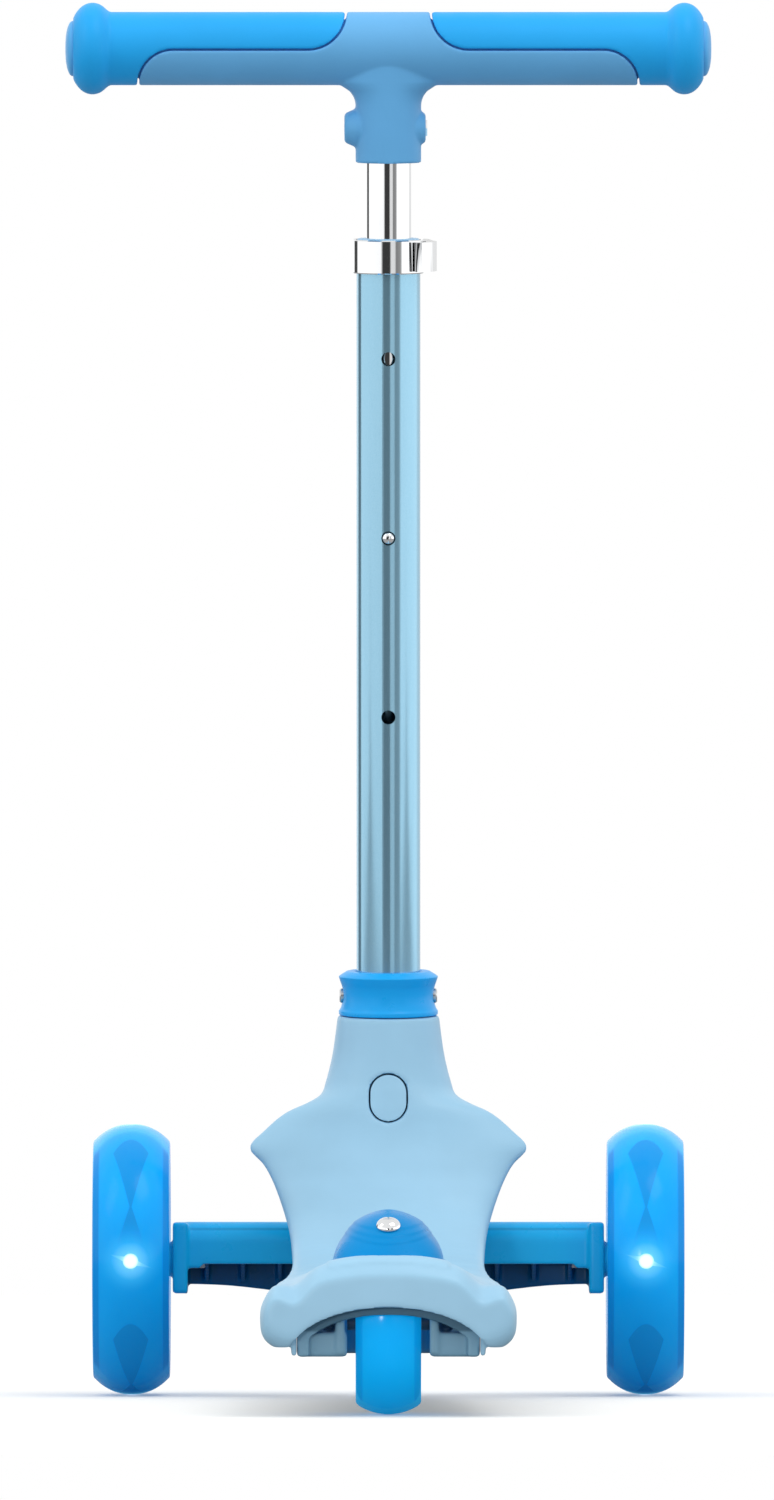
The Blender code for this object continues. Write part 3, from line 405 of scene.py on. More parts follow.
def from_bmesh(bm, place=None):
    """A helper object from a bmesh in millimetres."""
    bmesh.ops.recalc_face_normals(bm, faces=bm.faces)
    if place is not None:
        bm.transform(place)
    bmesh.ops.scale(bm, vec=(MM, MM, MM), verts=bm.verts)
    mesh = bpy.data.meshes.new("shape")
    bm.to_mesh(mesh)
    bm.free()
    obj = bpy.data.objects.new("shape", mesh)
    HELPERS.objects.link(obj)
    return obj


def applied(obj):
    """The object with its modifiers made final."""
    bpy.context.view_layer.update()
    seen = obj.evaluated_get(bpy.context.evaluated_depsgraph_get())
    mesh = bpy.data.meshes.new_from_object(seen)
    obj.modifiers.clear()
    old = obj.data
    obj.data = mesh
    bpy.data.meshes.remove(old)
    return obj


def combine(obj, others, operation):
    """One Boolean with one or more other shapes, which are used up."""
    step = obj.modifiers.new("combine", "BOOLEAN")
    step.operation = operation
    step.solver = "EXACT"
    group = None
    if len(others) == 1:
        step.object = others[0]
    else:
        group = bpy.data.collections.new("group")
        HELPERS.children.link(group)
        for other in others:
            HELPERS.objects.unlink(other)
            group.objects.link(other)
        step.operand_type = "COLLECTION"
        step.collection = group
    applied(obj)
    for other in others:
        bpy.data.objects.remove(other)
    if group:
        bpy.data.collections.remove(group)
    return obj


def cut(obj, *others):
    return combine(obj, list(others), "DIFFERENCE")


def join(obj, *others):
    return combine(obj, list(others), "UNION")


def keep(obj, other):
    return combine(obj, [other], "INTERSECT")


def soften(obj, voxel, passes):
    """Round every edge a little, as a moulding has: rebuilt on a fine grid and smoothed."""
    grid = obj.modifiers.new("grid", "REMESH")
    grid.mode = "VOXEL"
    grid.voxel_size = voxel * MM
    grid.use_smooth_shade = True
    smooth = obj.modifiers.new("smooth", "SMOOTH")
    smooth.factor = 0.5
    smooth.iterations = passes
    return applied(obj)


def chamfered(obj, width, segments=2, angle=35):
    """Narrow rounded edges on a hard-edged piece."""
    step = obj.modifiers.new("edges", "BEVEL")
    step.width = width * MM
    step.segments = segments
    step.limit_method = "ANGLE"
    step.angle_limit = math.radians(angle)
    step.use_clamp_overlap = True
    applied(obj)
    obj.data.shade_smooth()
    obj.data.set_sharp_from_angle(angle=math.radians(angle + 5))
    return obj


def block(low, high, place=None, bevel=0.0, segments=3):
    bm = bmesh.new()
    bmesh.ops.create_cube(bm, size=1.0)
    bmesh.ops.scale(bm, vec=[b - a for a, b in zip(low, high)], verts=bm.verts)
    bmesh.ops.translate(bm, vec=[(a + b) / 2 for a, b in zip(low, high)], verts=bm.verts)
    if bevel:
        bmesh.ops.bevel(bm, geom=bm.edges[:], offset=bevel, segments=segments, profile=0.5, affect="EDGES")
    return from_bmesh(bm, place)


def slab(side, near, far, bevel, place=None, segments=3):
    """A block on one side of the middle, from its corner nearest the middle to the one farthest off."""
    low, high = sorted((side * near[0], side * far[0]))
    return block((low, *near[1:]), (high, *far[1:]), place, bevel, segments)


def from_rings(rings, place=None):
    """A solid from rings of points, all with as many, closed at both ends."""
    bm = bmesh.new()
    rings = [[bm.verts.new(p) for p in ring] for ring in rings]
    around = len(rings[0])
    for low, high in zip(rings, rings[1:]):
        for i in range(around):
            j = (i + 1) % around
            bm.faces.new((low[i], low[j], high[j], high[i]))
    bm.faces.new(rings[0])
    bm.faces.new(list(reversed(rings[-1])))
    bmesh.ops.triangulate(bm, faces=bm.faces)
    return from_bmesh(bm, place)


def turned(profile, place, steps=ROUND, closed=False):
    """A solid from (radius, height) points turned about local Z; a closed profile makes a ring."""
    bm = bmesh.new()
    turns = [2 * math.pi * k / steps for k in range(steps)]
    rings = []
    for r, h in profile:
        if r:
            rings.append([bm.verts.new((r * math.cos(a), r * math.sin(a), h)) for a in turns])
        else:
            rings.append([bm.verts.new((0, 0, h))] * steps)
    if closed:
        rings.append(rings[0])
    for a, b in zip(rings, rings[1:]):
        for k in range(steps):
            m = (k + 1) % steps
            corners = list(dict.fromkeys((a[k], a[m], b[m], b[k])))
            if len(corners) > 2:
                bm.faces.new(corners)
    return from_bmesh(bm, place)


def rod(radius, low, high, place=None, steps=48):
    return turned([(0, high), (radius, high), (radius, low), (0, low)], place, steps)


def prism(outline, low, high, place=None):
    """A flat outline in X and Y drawn out along local Z."""
    bm = bmesh.new()
    bottom = [bm.verts.new((x, y, low)) for x, y in outline]
    top = [bm.verts.new((x, y, high)) for x, y in outline]
    bm.faces.new(list(reversed(bottom)))
    bm.faces.new(top)
    for k in range(len(outline)):
        m = (k + 1) % len(outline)
        bm.faces.new((bottom[k], bottom[m], top[m], top[k]))
    return from_bmesh(bm, place)


def arc(centre, radius, start, end, count):
    """Points along an arc between two angles in degrees."""
    turns = [math.radians(start + (end - start) * i / count) for i in range(count + 1)]
    return [(centre[0] + radius * math.cos(a), centre[1] + radius * math.sin(a)) for a in turns]


def stadium(width, height):
    radius = width / 2
    straight = height / 2 - radius
    return arc((0, straight), radius, 0, 180, 24) + arc((0, -straight), radius, 180, 360, 24)


def spline(table, i, t):
    """A Catmull-Rom curve through a table's rows: the point a share t of the way from row i to the next."""
    before, a = table[max(i - 1, 0)], table[i]
    b, after = table[i + 1], table[min(i + 2, len(table) - 1)]
    return (
        a * (2 * t**3 - 3 * t**2 + 1) + b * (3 * t**2 - 2 * t**3)
        + (b - before) / 2 * (t**3 - 2 * t**2 + t) + (after - a) / 2 * (t**3 - t**2)
    )


def smooth_profile(points, per_span):
    """A smooth curve through (radius, height) points."""
    table = [Vector(p) for p in points]
    made = [spline(table, i, k / per_span) for i in range(len(table) - 1) for k in range(per_span)]
    return [(max(p.x, 0.0), p.y) for p in made] + [tuple(table[-1])]


def at_stem(height, turn=None, x=0.0, y=0.0):
    """A place at a height on the stem, beside its middle by x and y, then turned."""
    place = STEM @ moved(x, y, height)
    return place @ turn if turn else place


def in_scene(name, data):
    obj = bpy.data.objects.new(name, data)
    bpy.context.scene.collection.objects.link(obj)
    return obj


def show(obj, name, body, mat, *nodes, slot=None, angle=40):
    """Put a finished piece on its body in place of the CAD nodes it stands for."""
    obj.name = name
    obj.data.name = name
    for collection in list(obj.users_collection):
        collection.objects.unlink(obj)
    bpy.context.scene.collection.objects.link(obj)
    obj.data.materials.clear()
    obj.data.materials.append(mat)
    obj.data.shade_smooth()
    obj.data.set_sharp_from_angle(angle=math.radians(angle))
    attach(obj, body)
    if nodes:
        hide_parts(*nodes)
    return obj


# ---------------- the deck's lofted form
# Each station is a flat section: the skin's point on the top or back (y, z), the point opposite it
# (y, z), half width, how far down it is widest, fullness above and below, and the side valley's depth.
DECK_STATIONS = (
    (-270.0, 59.6, -270.0, 33.0, 50.8, 0.60, 2.0, 3.2, 9.0),
    (-269.0, 61.6, -269.0, 29.4, 52.6, 0.60, 2.0, 3.6, 9.4),
    (-265.5, 65.4, -265.5, 26.0, 53.9, 0.59, 2.0, 3.8, 8.6),
    (-260.0, 68.0, -260.0, 25.2, 54.6, 0.58, 2.0, 3.8, 7.2),
    (-252.0, 68.0, -252.0, 25.0, 54.6, 0.58, 2.0, 3.8, 5.8),
    (-232.0, 67.6, -232.0, 25.0, 54.3, 0.58, 2.0, 3.8, 4.6),
    (-200.0, 66.2, -200.0, 26.0, 52.8, 0.54, 2.1, 3.6, 3.2),
    (-160.0, 63.6, -160.0, 30.0, 51.4, 0.50, 2.3, 3.6, 1.6),
    (-110.0, 60.4, -110.0, 30.0, 50.2, 0.38, 2.6, 3.6, 0.4),
    (-50.0, 58.0, -50.0, 30.0, 48.8, 0.28, 3.0, 3.6, 0.0),
    (0.0, 57.2, 0.0, 30.0, 47.0, 0.22, 3.2, 3.6, 0.0),
    (48.0, 58.0, 50.0, 30.0, 44.4, 0.16, 3.2, 3.4, 0.0),
    (90.0, 61.2, 106.0, 30.5, 42.4, 0.12, 3.0, 3.0, 0.0),
    (122.0, 67.0, 165.0, 36.0, 42.3, 0.14, 2.8, 2.4, 0.0),
    (146.0, 79.0, 214.0, 48.0, 44.0, 0.14, 2.6, 1.7, 0.0),
    (159.0, 94.5, 238.0, 66.0, 49.4, 0.12, 2.3, 1.35, 0.0),
    (165.5, 104.8, 244.5, 80.0, 54.8, 0.12, 2.1, 1.2, 0.0),
    (169.8, 112.2, 246.0, 92.0, 61.4, 0.12, 1.9, 1.15, 0.0),
    (172.8, 119.2, 244.2, 103.0, 55.0, 0.12, 1.8, 1.22, 0.0),
    (175.2, 126.8, 242.4, 113.0, 45.8, 0.14, 1.8, 1.4, 0.0),
    (176.8, 131.2, 241.0, 120.5, 36.2, 0.18, 1.85, 1.6, 0.0),
    (178.2, 135.2, 239.6, 127.5, 30.0, 0.28, 1.95, 1.75, 0.0),
    (180.2, 140.2, 237.8, 135.5, 27.8, 0.38, 2.0, 1.9, 0.0),
    (184.0, 151.5, 235.2, 150.5, 24.7, 0.48, 2.1, 2.1, 0.0),
    (188.3, 166.44, 232.9, 169.56, 22.4, 0.50, 2.1, 2.1, 0.0),
)
ARCH_STATIONS = (
    (-280.0, 46.4, -280.0, 12.0, 43.0, 0.62, 2.0, 3.0, 0.0),
    (-264.0, 46.8, -264.0, 12.0, 43.2, 0.62, 2.1, 3.0, 0.0),
    (-258.5, 50.5, -258.5, 12.0, 46.5, 0.25, 3.0, 3.0, 0.0),
    (-246.0, 54.5, -246.0, 12.0, 48.0, 0.25, 4.0, 3.0, 0.0),
    (-186.0, 54.5, -186.0, 12.0, 47.5, 0.25, 4.0, 3.0, 0.0),
    (-182.0, 48.0, -182.0, 12.0, 46.5, 0.20, 4.0, 3.2, 0.0),
    (-152.0, 48.0, -152.0, 12.0, 46.0, 0.20, 4.0, 3.4, 0.0),
)
VALLEY_AT, VALLEY_WIDTH = 40.0, 6.0
RIM_AT, RIM_WIDTH, RIM_SHARE = 50.0, 3.5, 0.5
OPENING_HALF, OPENING_ROUND, OPENING_Y = 26.0, 20.0, (-259.8, -170.0)
LIP_PROUD, TAIL_FOOT_Z, FRAME_FLOOR_Z = 0.9, 29.4, 25.3


def between(stations, steps):
    """Stations with steps spans between each two given ones, on smooth curves."""
    table = np.array(stations)
    made = [spline(table, i, k / steps) for i in range(len(table) - 1) for k in range(steps)]
    return made + [table[-1]]


def section_points(station, around):
    """Points round one section, with its valleys and the rims beside them."""
    ty, tz, by, bz, width, widest, full_top, full_low, valley = station
    top = Vector((0, ty, tz))
    down = Vector((0, by - ty, bz - tz))
    points = []
    for i in range(around):
        angle = 2 * math.pi * i / around
        c, s = math.cos(angle), math.sin(angle)
        full = full_top if s >= 0 else full_low
        x = width * math.copysign(abs(c) ** (2 / full), c)
        rise = abs(s) ** (2 / full)
        depth = widest * (1 - rise) if s >= 0 else widest + (1 - widest) * rise
        dip = math.exp(-(((abs(x) - VALLEY_AT) / VALLEY_WIDTH) ** 2))
        dip -= RIM_SHARE * math.exp(-(((abs(x) - RIM_AT) / RIM_WIDTH) ** 2))
        dip *= valley * rise if s >= 0 else 0.0
        points.append(Vector((x, 0, 0)) + top + down * depth - Vector((0, 0, dip)))
    return points


def loft(stations, around):
    """A solid through a row of sections."""
    return from_rings([section_points(station, around) for station in stations])


def hollow_stations(first, last, wall, floor):
    """Sections for the hollow under the deck, a wall thinner than the form and open at the floor."""
    return [
        (row[0], row[1] - wall, row[2], floor, row[4] - wall, row[5], row[6], 5.0, row[8])
        for row in DECK_STATIONS if first <= row[0] <= last
    ]


RIB_PITCH, RIB_BEND, RIB_DEPTH = 0.0075, -9.0, 6.0  # metres, per metre, and against the grain's depth


def anti_slip(mat):
    """Smile-shaped ribs moulded into the foot area, as a relief on the grain."""
    tree = mat.node_tree
    bump = [node for node in tree.nodes if node.type == "BUMP"][0]
    grain = Value(tree, bump.inputs["Height"].links[0].from_socket)
    x, y, z = axes(tree)
    bent = y + x * x * RIB_BEND
    rib = smoothly(maths("SINE", bent * (2 * math.pi / RIB_PITCH)), 0.1, 0.7)
    foot_area = ((abs(x), 0.0345, 0.0330), (bent, -0.150, -0.1485), (bent, 0.0500, 0.0485), (z, 0.050, 0.052))
    for value, outside, inside in foot_area:
        rib = rib * smoothly(value, outside, inside)
    feed(tree, bump, {"Height": grain + rib * RIB_DEPTH})
    return mat


def deck_form():
    """The outer form of the deck, cowl, neck and fenders as one closed solid."""
    return loft(between(DECK_STATIONS, 6), 168)


def cowl_slot():
    """The cowl's opening over the rear wheel, with a round rear end."""
    front, rear = OPENING_Y[1], OPENING_Y[0] + OPENING_ROUND
    slot = [(-OPENING_HALF, front), (OPENING_HALF, front)]
    slot += [
        (OPENING_HALF * math.cos(a), rear - OPENING_ROUND * math.sin(a)) for a in np.linspace(0, math.pi, 41)
    ]
    return prism(slot, 15.0, 105.0)


def raised_lip():
    """The narrow lip round the rear of the cowl's opening."""
    lip = deck_form()
    for vertex, normal in zip(lip.data.vertices, [v.normal.copy() for v in lip.data.vertices]):
        vertex.co += normal * LIP_PROUD * MM
    keep(lip, block((-25.6, -266.0, 54), (25.6, -236, 75)))
    return cut(lip, cowl_slot())


def deck():
    body = deck_form()
    beam_swing = [(-90, 10), (90, 10), (90, 99), (30, 88), (0, 79.3), (-30, 88), (-90, 99)]
    button_seat = at_stem(RELEASE_H, BACKWARDS, y=RELEASE_FLOOR - 20)
    cut(
        body,
        loft(between(ARCH_STATIONS, 3), 96),
        loft(between(hollow_stations(-165, 125, 4.0, 14.0), 3), 96),
        cowl_slot(),
        prism(beam_swing, -43, 43, moved(0, 217.0, 0) @ BACKWARDS),
        block((-14.5, 95, 10), (14.5, 180, 56)),  # room for the underframe's arm
        rod(PIVOT_HUB_R + 1.2, -38, 11, PIVOT),
        rod(KING_PIN_BORE_R, 0, 25, PIVOT, 32),
        rod(8.0, 20, 30, PIVOT, 32),  # room for the king pin's nut
        rod(TUBE_R + 0.4, TUBE_FOOT_H - 1.5, 20, STEM, ROUND),
        prism(stadium(17.2, 21.1), -20.0, 20.0, button_seat),
        rod(3.7, 5, 21.2, at_stem(RELEASE_H, BACKWARDS), 24),
    )
    cut(body, block((-70, -290, 5), (70, -176, TAIL_FOOT_Z)))
    join(body, raised_lip())
    join(body, *[slab(s, (39.15, -263.5, 25.6), (41.4, -238, 54.0), 0.9) for s in (-1, 1)])
    soften(body, 1.1, 2)
    show(body, "deck_moulding", "deck", anti_slip(DECK_BLUE), "deck_shell", slot="shell_blue")


def release_button():
    button = loft(between(DECK_STATIONS[14:], 6), 168)
    depth = 40.0
    place = at_stem(RELEASE_H, BACKWARDS, y=RELEASE_BACK - depth / 2)
    keep(button, prism(stadium(15.9, 19.8), -depth / 2, depth / 2, place))
    join(button, rod(3.2, 17.6, -RELEASE_BACK + 1, at_stem(RELEASE_H, BACKWARDS)))
    soften(button, 0.35, 3)
    show(button, "release_button_face", "release_button", SHELL, "release_button", slot="shell_blue")


def arch_wall_shade(x, y, z):
    """1 on the thin wall that closes the tail's arch, where shade is painted."""
    return smoothly(y, -0.2588, -0.2592) * smoothly(z, 0.0355, 0.0370)


def crescent():
    """The thin wall that closes the tail's arch."""
    wall = cut(
        loft([(y, 46.8, y, 12.0, 42.8, 0.62, 2.1, 3.0, 0.0) for y in (-262.0, -259.4)], 96),
        loft([(y, 43.2, y, 5.0, 40.6, 0.62, 2.1, 3.0, 0.0) for y in (-270.0, -250.0)], 96),
    )
    return keep(wall, block((-39.0, -270, 29.5), (39.0, -250, 60)))


def underframe():
    low = FRAME_FLOOR_Z
    frame_body = block((-30, -160, low), (30, 122, 29.0), bevel=0.8)
    parts = [block((-38, -176, low), (38, -150, 42.0), bevel=1.5)]
    for s in (-1, 1):
        aside = 0.5 * s
        parts += [
            slab(s, (17.6, -257.0, low), (39.0, -170, 35.6), 1.4),  # one side of the fork
            slab(s, (17.6, -241, low + 2), (22.6, -198, 48.0), 1.0),  # its inner plate, and the rear of it
            slab(s, (18.1 - aside, -258.0, low + 1), (22.1 - aside, -238, 43.4), 1.0),
            slab(s, (35.8, -238, low + 2), (39.0, -198, 46.0), 1.0),  # its outer plate
            slab(s, (18.6, -226, low + 2), (38.0, -207, 46.5), 1.0),  # the block round the axle
            slab(s, (27.5, -240, 31.0), (30.0, -220, 41.0), 0.6),
            slab(s, (33.5, -262, low), (38.8, -240, 35.0), 0.8),
        ]
    arm = moved(0, 152, 36.5) @ tilted(11.5, "X")
    parts.append(block((-12, -44, -5), (12, 44, 5), arm, bevel=1.5))
    parts.append(rod(PIVOT_HUB_R, -30, -19.2, PIVOT, 64))
    parts.append(crescent())
    join(frame_body, *parts)
    holes = [rod(KING_PIN_BORE_R, -50, 0, PIVOT, 32), rod(7.8, -60, -29.0, PIVOT, 48)]
    holes.append(rod(AXLE_BORE_R, -50, 50, REAR_AXLE, 32))
    for x in (-21.0, 21.0):
        for y in (-120.0, 55.0):
            at = moved(x, y, 0)
            holes += [rod(2.3, 20, 35, at, 24), rod(4.2, 20, 27.4, at, 32)]
    for y in np.arange(-98, 40, 22.0):
        for x in (-13.5, 13.5):
            holes.append(block((x - 10.0, y, 20), (x + 10.0, y + 18.0, low + 1.1), bevel=2.0))
    cut(frame_body, *holes)
    soften(frame_body, 0.9, 3)
    # painted shade on the wall that closes the tail's arch
    painted_shade_mat = with_painted_shade(FRAME_BLUE_SHADED, (0.07, 0.17, 0.25), arch_wall_shade)
    show(frame_body, "underframe_moulding", "deck", painted_shade_mat, "underframe", slot="shell_blue")


# ---------------- brake
DOME_HALF, DOME_EDGE_Z, DOME_TOP_Z, DOME_SKIN, DOME_POWER = 24.4, 64.0, 87.0, 1.8, 1.75
DOME_FRONT_Y, DOME_FRONT_LIFT, DOME_SETBACK = -172.0, 2.6, 0.7
DOME_REAR, BRAKE_SCREW_TILT = 56.0, 30.0  # degrees behind the wheel's top
ROUND_SHARE = 0.6  # of the dome's length, the part that runs round the wheel
TAPER_Y, TAPER_LENGTH, TAPER = -236.0, 20.0, 0.86
LEAF_EDGES_Z, LEAF_SMILE, LEAF_STEP, LEAF_SOFT = (73.4, 76.0, 78.8), 3.9, 0.42, 0.16
LEAF_END_Y, LEAF_FADE = REAR_AXLE_Y + 4, 14
BRAKE_SCREW = moved(0, REAR_AXLE_Y, REAR_R)
BRAKE_SCREW @= tilted(BRAKE_SCREW_TILT, "X")


def dome_ridge(t):
    """Y and Z of the dome's middle line: round the wheel from the rear, then down to the front edge."""
    radius = DOME_TOP_Z - REAR_R
    if t < ROUND_SHARE:
        angle = math.radians(DOME_REAR * (1 - t / ROUND_SHARE))
        return REAR_AXLE_Y - radius * math.sin(angle), REAR_R + radius * math.cos(angle)
    s = (t - ROUND_SHARE) / (1 - ROUND_SHARE)
    y = REAR_AXLE_Y + (DOME_FRONT_Y - REAR_AXLE_Y) * s
    return y, DOME_TOP_Z - (DOME_TOP_Z - DOME_EDGE_Z - DOME_FRONT_LIFT) * s**2 * (2 - s**2)


def ripple(x, y, z):
    """How far the dome stands proud: leaves, one over another, with smile-shaped edges below the screw."""
    height = 0.0
    for low in LEAF_EDGES_Z:
        edge = low + LEAF_SMILE * (x / 18.0) ** 2
        height += LEAF_STEP / (1 + math.exp((edge - z) / LEAF_SOFT))
    return height * math.exp(-(max(0.0, y - LEAF_END_Y) / LEAF_FADE) ** 2)


def brake():
    rows, across = 190, 120
    bm = bmesh.new()
    grid = []
    for i in range(rows + 1):
        y, top = dome_ridge(i / rows)
        back = max(0.0, (TAPER_Y - y) / TAPER_LENGTH)
        half = DOME_HALF * math.sqrt(max(0.05, 1 - (TAPER * back) ** 2))
        line = []
        for k in range(across + 1):
            v = math.sin(math.pi / 2 * (2 * k / across - 1))
            z = DOME_EDGE_Z + (top - DOME_EDGE_Z) * math.sqrt(max(0.0, 1 - abs(v) ** DOME_POWER))
            line.append(bm.verts.new((v * half, y, z)))
        grid.append(line)
    for low, high in zip(grid, grid[1:]):
        for k in range(across):
            bm.faces.new((low[k], low[k + 1], high[k + 1], high[k]))
    bmesh.ops.recalc_face_normals(bm, faces=bm.faces)
    bm.normal_update()
    if bm.faces[0].normal.z < 0:
        bmesh.ops.reverse_faces(bm, faces=bm.faces)
        bm.normal_update()
    moves = [(v, v.normal * (ripple(*v.co) - DOME_SETBACK)) for v in bm.verts]
    for v, shift in moves:
        v.co += shift
    dome = from_bmesh(bm)
    skin = dome.modifiers.new("skin", "SOLIDIFY")
    skin.thickness = DOME_SKIN * MM
    skin.offset = -1.0
    applied(dome)
    soften(dome, 0.36, 1)
    show(dome, "brake_dome", "brake", DOME_AZURE, "brake_pedal", slot="azure_plastic")
    head = [(0, 50.3)] + smooth_profile([(0.01, 50.3), (2.6, 49.9), (4.4, 48.9), (5.2, 47.6), (5.0, 47.1)], 8)
    head += [(1.8, 47.0), (1.8, 42.0), (0, 42.0)]
    show(turned(head, BRAKE_SCREW, 64), "brake_screw_head", "brake", CHROME, "brake_screw", slot="chrome")


# ---------------- steering beam
BEAM_Z, BEAM_R, BEAM_WALL = 67.3, 9.3, 3.0
BEAM_FRONT_FOOT_Z, BEAM_REAR_FOOT_Z = 44.5, 58.0
BEAM_EDGE_Z, BEAM_BELLY, BEAM_BELLY_HALF = 48.9, 4.8, 60.0
GUSSET_X = (80.6, 64.4, 48.2, 32.0)


def front_axle(x=0.0, turn=ALONG_X):
    """A place on the front axle's line."""
    return moved(x, FRONT_AXLE_Y, FRONT_R) @ turn


def side_view(x=0.0):
    """An outline is given in Y, from the axle, and Z, and is drawn out along X."""
    return Matrix(((0, 0, 1, x), (1, 0, 0, FRONT_AXLE_Y), (0, 1, 0, 0), (0, 0, 0, 1)))


def beam_hollow(x, y, z):
    """1 in the beam's hollow, where its walls shade one another."""
    off = abs(y - FRONT_AXLE_Y * MM)
    inside = smoothly(off, (BEAM_R - 1.6) * MM, (BEAM_R - 2.8) * MM)
    return inside * smoothly(z, 0.0745, 0.0725) * smoothly(abs(x), 0.090, 0.0885)


def axle_beam():
    inner = BEAM_R - BEAM_WALL
    outline = [(BEAM_R, BEAM_FRONT_FOOT_Z)] + arc((0, BEAM_Z), BEAM_R, 0, 180, 32)
    outline += [(-BEAM_R, BEAM_REAR_FOOT_Z), (-inner, BEAM_REAR_FOOT_Z)]
    outline += arc((0, BEAM_Z), inner, 180, 0, 24) + [(inner, BEAM_FRONT_FOOT_Z)]
    beam = prism(outline, -90, 90, side_view())
    across = np.linspace(88, -88, 61)
    belly = [(x, BEAM_EDGE_Z - BEAM_BELLY * math.exp(-((x / BEAM_BELLY_HALF) ** 4))) for x in across]
    under = [(-89, 30), (89, 30), (89, BEAM_EDGE_Z), *belly, (-89, BEAM_EDGE_Z)]
    cut(beam, prism(under, -20, 20, moved(0, FRONT_AXLE_Y, 0) @ BACKWARDS))
    y = FRONT_AXLE_Y
    gusset = [(-6.6, 58.4), (-6.6, 70), (7.0, 70), (7.0, 50.5), (5.2, 50.5)]
    parts = []
    for s in (-1, 1):
        parts.append(slab(s, (88.8, y - 11, 45), (95.5, y + 11, 76.4), 1.2))
        parts.append(slab(s, (82.8, y - 9.3, 56.2), (90.0, y - 6.5, 62.0), 0.8))
        parts += [prism(gusset, -1.1, 1.1, side_view(s * x)) for x in GUSSET_X]
        low, high = sorted((s * 94.5, s * 101.2))
        parts.append(rod(7.5, low, high, front_axle(), 64))
    parts.append(rod(PIVOT_HUB_R, -18, 10, PIVOT, 64))
    join(beam, *parts)
    bolt_bores = [rod(4.3, low, low + 36, front_axle(), 32) for low in (74, -110)]
    cut(beam, rod(5.7, -27, 19, PIVOT, 48), *bolt_bores)
    soften(beam, 0.75, 3)
    # painted shade in the beam's hollow
    painted_shade_mat = with_painted_shade(BEAM_AZURE, (0.001, 0.10, 0.26), beam_hollow)
    show(beam, "steering_beam", "axle", painted_shade_mat, "axle_beam", slot="azure_plastic")


# ---------------- wheels
BEARING_R, SPOKES, AXLE_SOCKET, COLLAR_SOCKET = 11.1, 6, 2.9, 1.6
FRONT_WIDTH, FRONT_TREAD_R, FRONT_HUB_R = 34.0, 22.0, 34.0
REAR_WIDTH, REAR_TREAD_R, REAR_HUB_R = 28.0, 24.0, 24.0


def tyre_profile(radius, width, tread_r, bore):
    """A cast tyre's section: one arc across the tread, with a small rounding at each shoulder."""
    half = width / 2
    edge = half - 1.5
    middle = radius - tread_r
    low = middle + math.sqrt(tread_r**2 - edge**2)
    face = [(middle + math.sqrt(tread_r**2 - x**2), x) for x in np.linspace(0.7, edge, 18)]
    for a in np.linspace(0.5, math.pi / 2, 6):
        face.append((low - 0.45 - 1.9 * (1 - math.cos(a)), edge + 1.5 * math.sin(a)))
    face += [(low - 5.0, half), (low - 9.0, half - 0.5), (bore + 3.0, half - 1.6), (bore, half - 2.4)]
    return face[::-1] + [(r, -x) for r, x in face]


def hub_profile(rim_r, half):
    """A hub's section: a dished outer face with a boss round the bearing, and a rim."""
    boss = [(BEARING_R, half), (13.6, half), (14.4, half - 0.8), (14.4, half - 3.0)]
    dish = [(rim_r - 6.6, half - 3.4), (rim_r - 5.6, half - 2.6), (rim_r - 5.0, half - 0.4)]
    rim = [(rim_r - 3.8, half), (rim_r, half - 3), (rim_r, 3 - half), (rim_r - 5, -half), (rim_r - 8, -half)]
    inner = [(rim_r - 9, 3 - half), (15.5, 3 - half), (14.0, -half), (BEARING_R, -half)]
    return boss + dish + rim + inner + [(BEARING_R, -5.2), (9.2, -5.2), (9.2, 5.2), (BEARING_R, 5.2)]


def wheel(prefix, body, place, radius, width, tread_r, hub_r, lit):
    """The tyre and hub of one wheel, whose local +Z is the outer face."""
    rubber = cast_pu(f"{prefix}_pu", tuple(place.translation), width, lit)
    tyre = turned(tyre_profile(radius, width, tread_r, hub_r + 0.3), place, 160, closed=True)
    show(tyre, f"{prefix}_tyre_cast", body, rubber, f"{prefix}_tyre", slot="clear_azure", angle=30)
    half = width / 2 - 4.5
    hub = turned(hub_profile(hub_r, half), place, ROUND, closed=True)
    spokes = []
    for k in range(SPOKES):
        turn = place @ Matrix.Rotation(2 * math.pi * k / SPOKES, 4, "Z")
        spokes.append(block((13.0, -1.8, half - 5.0), (hub_r - 4.6, 1.8, half - 0.9), turn, bevel=0.7))
    join(hub, *spokes)
    chamfered(hub, 0.25)
    show(hub, f"{prefix}_hub_moulding", body, HUB, f"{prefix}_hub", slot="hub_plastic")


def bolt_head(name, body, place, profile, node, mat=CHROME, hexagon=0.0):
    """A bolt turned from its profile, with a hexagon socket in its head where a size is given."""
    head = turned(profile, place, 64)
    if hexagon:
        top = profile[0][1]
        cut(head, rod(hexagon, top - 2.2, top + 1.0, place, 6))
    show(head, name, body, mat, node, slot="chrome" if mat is CHROME else "steel")


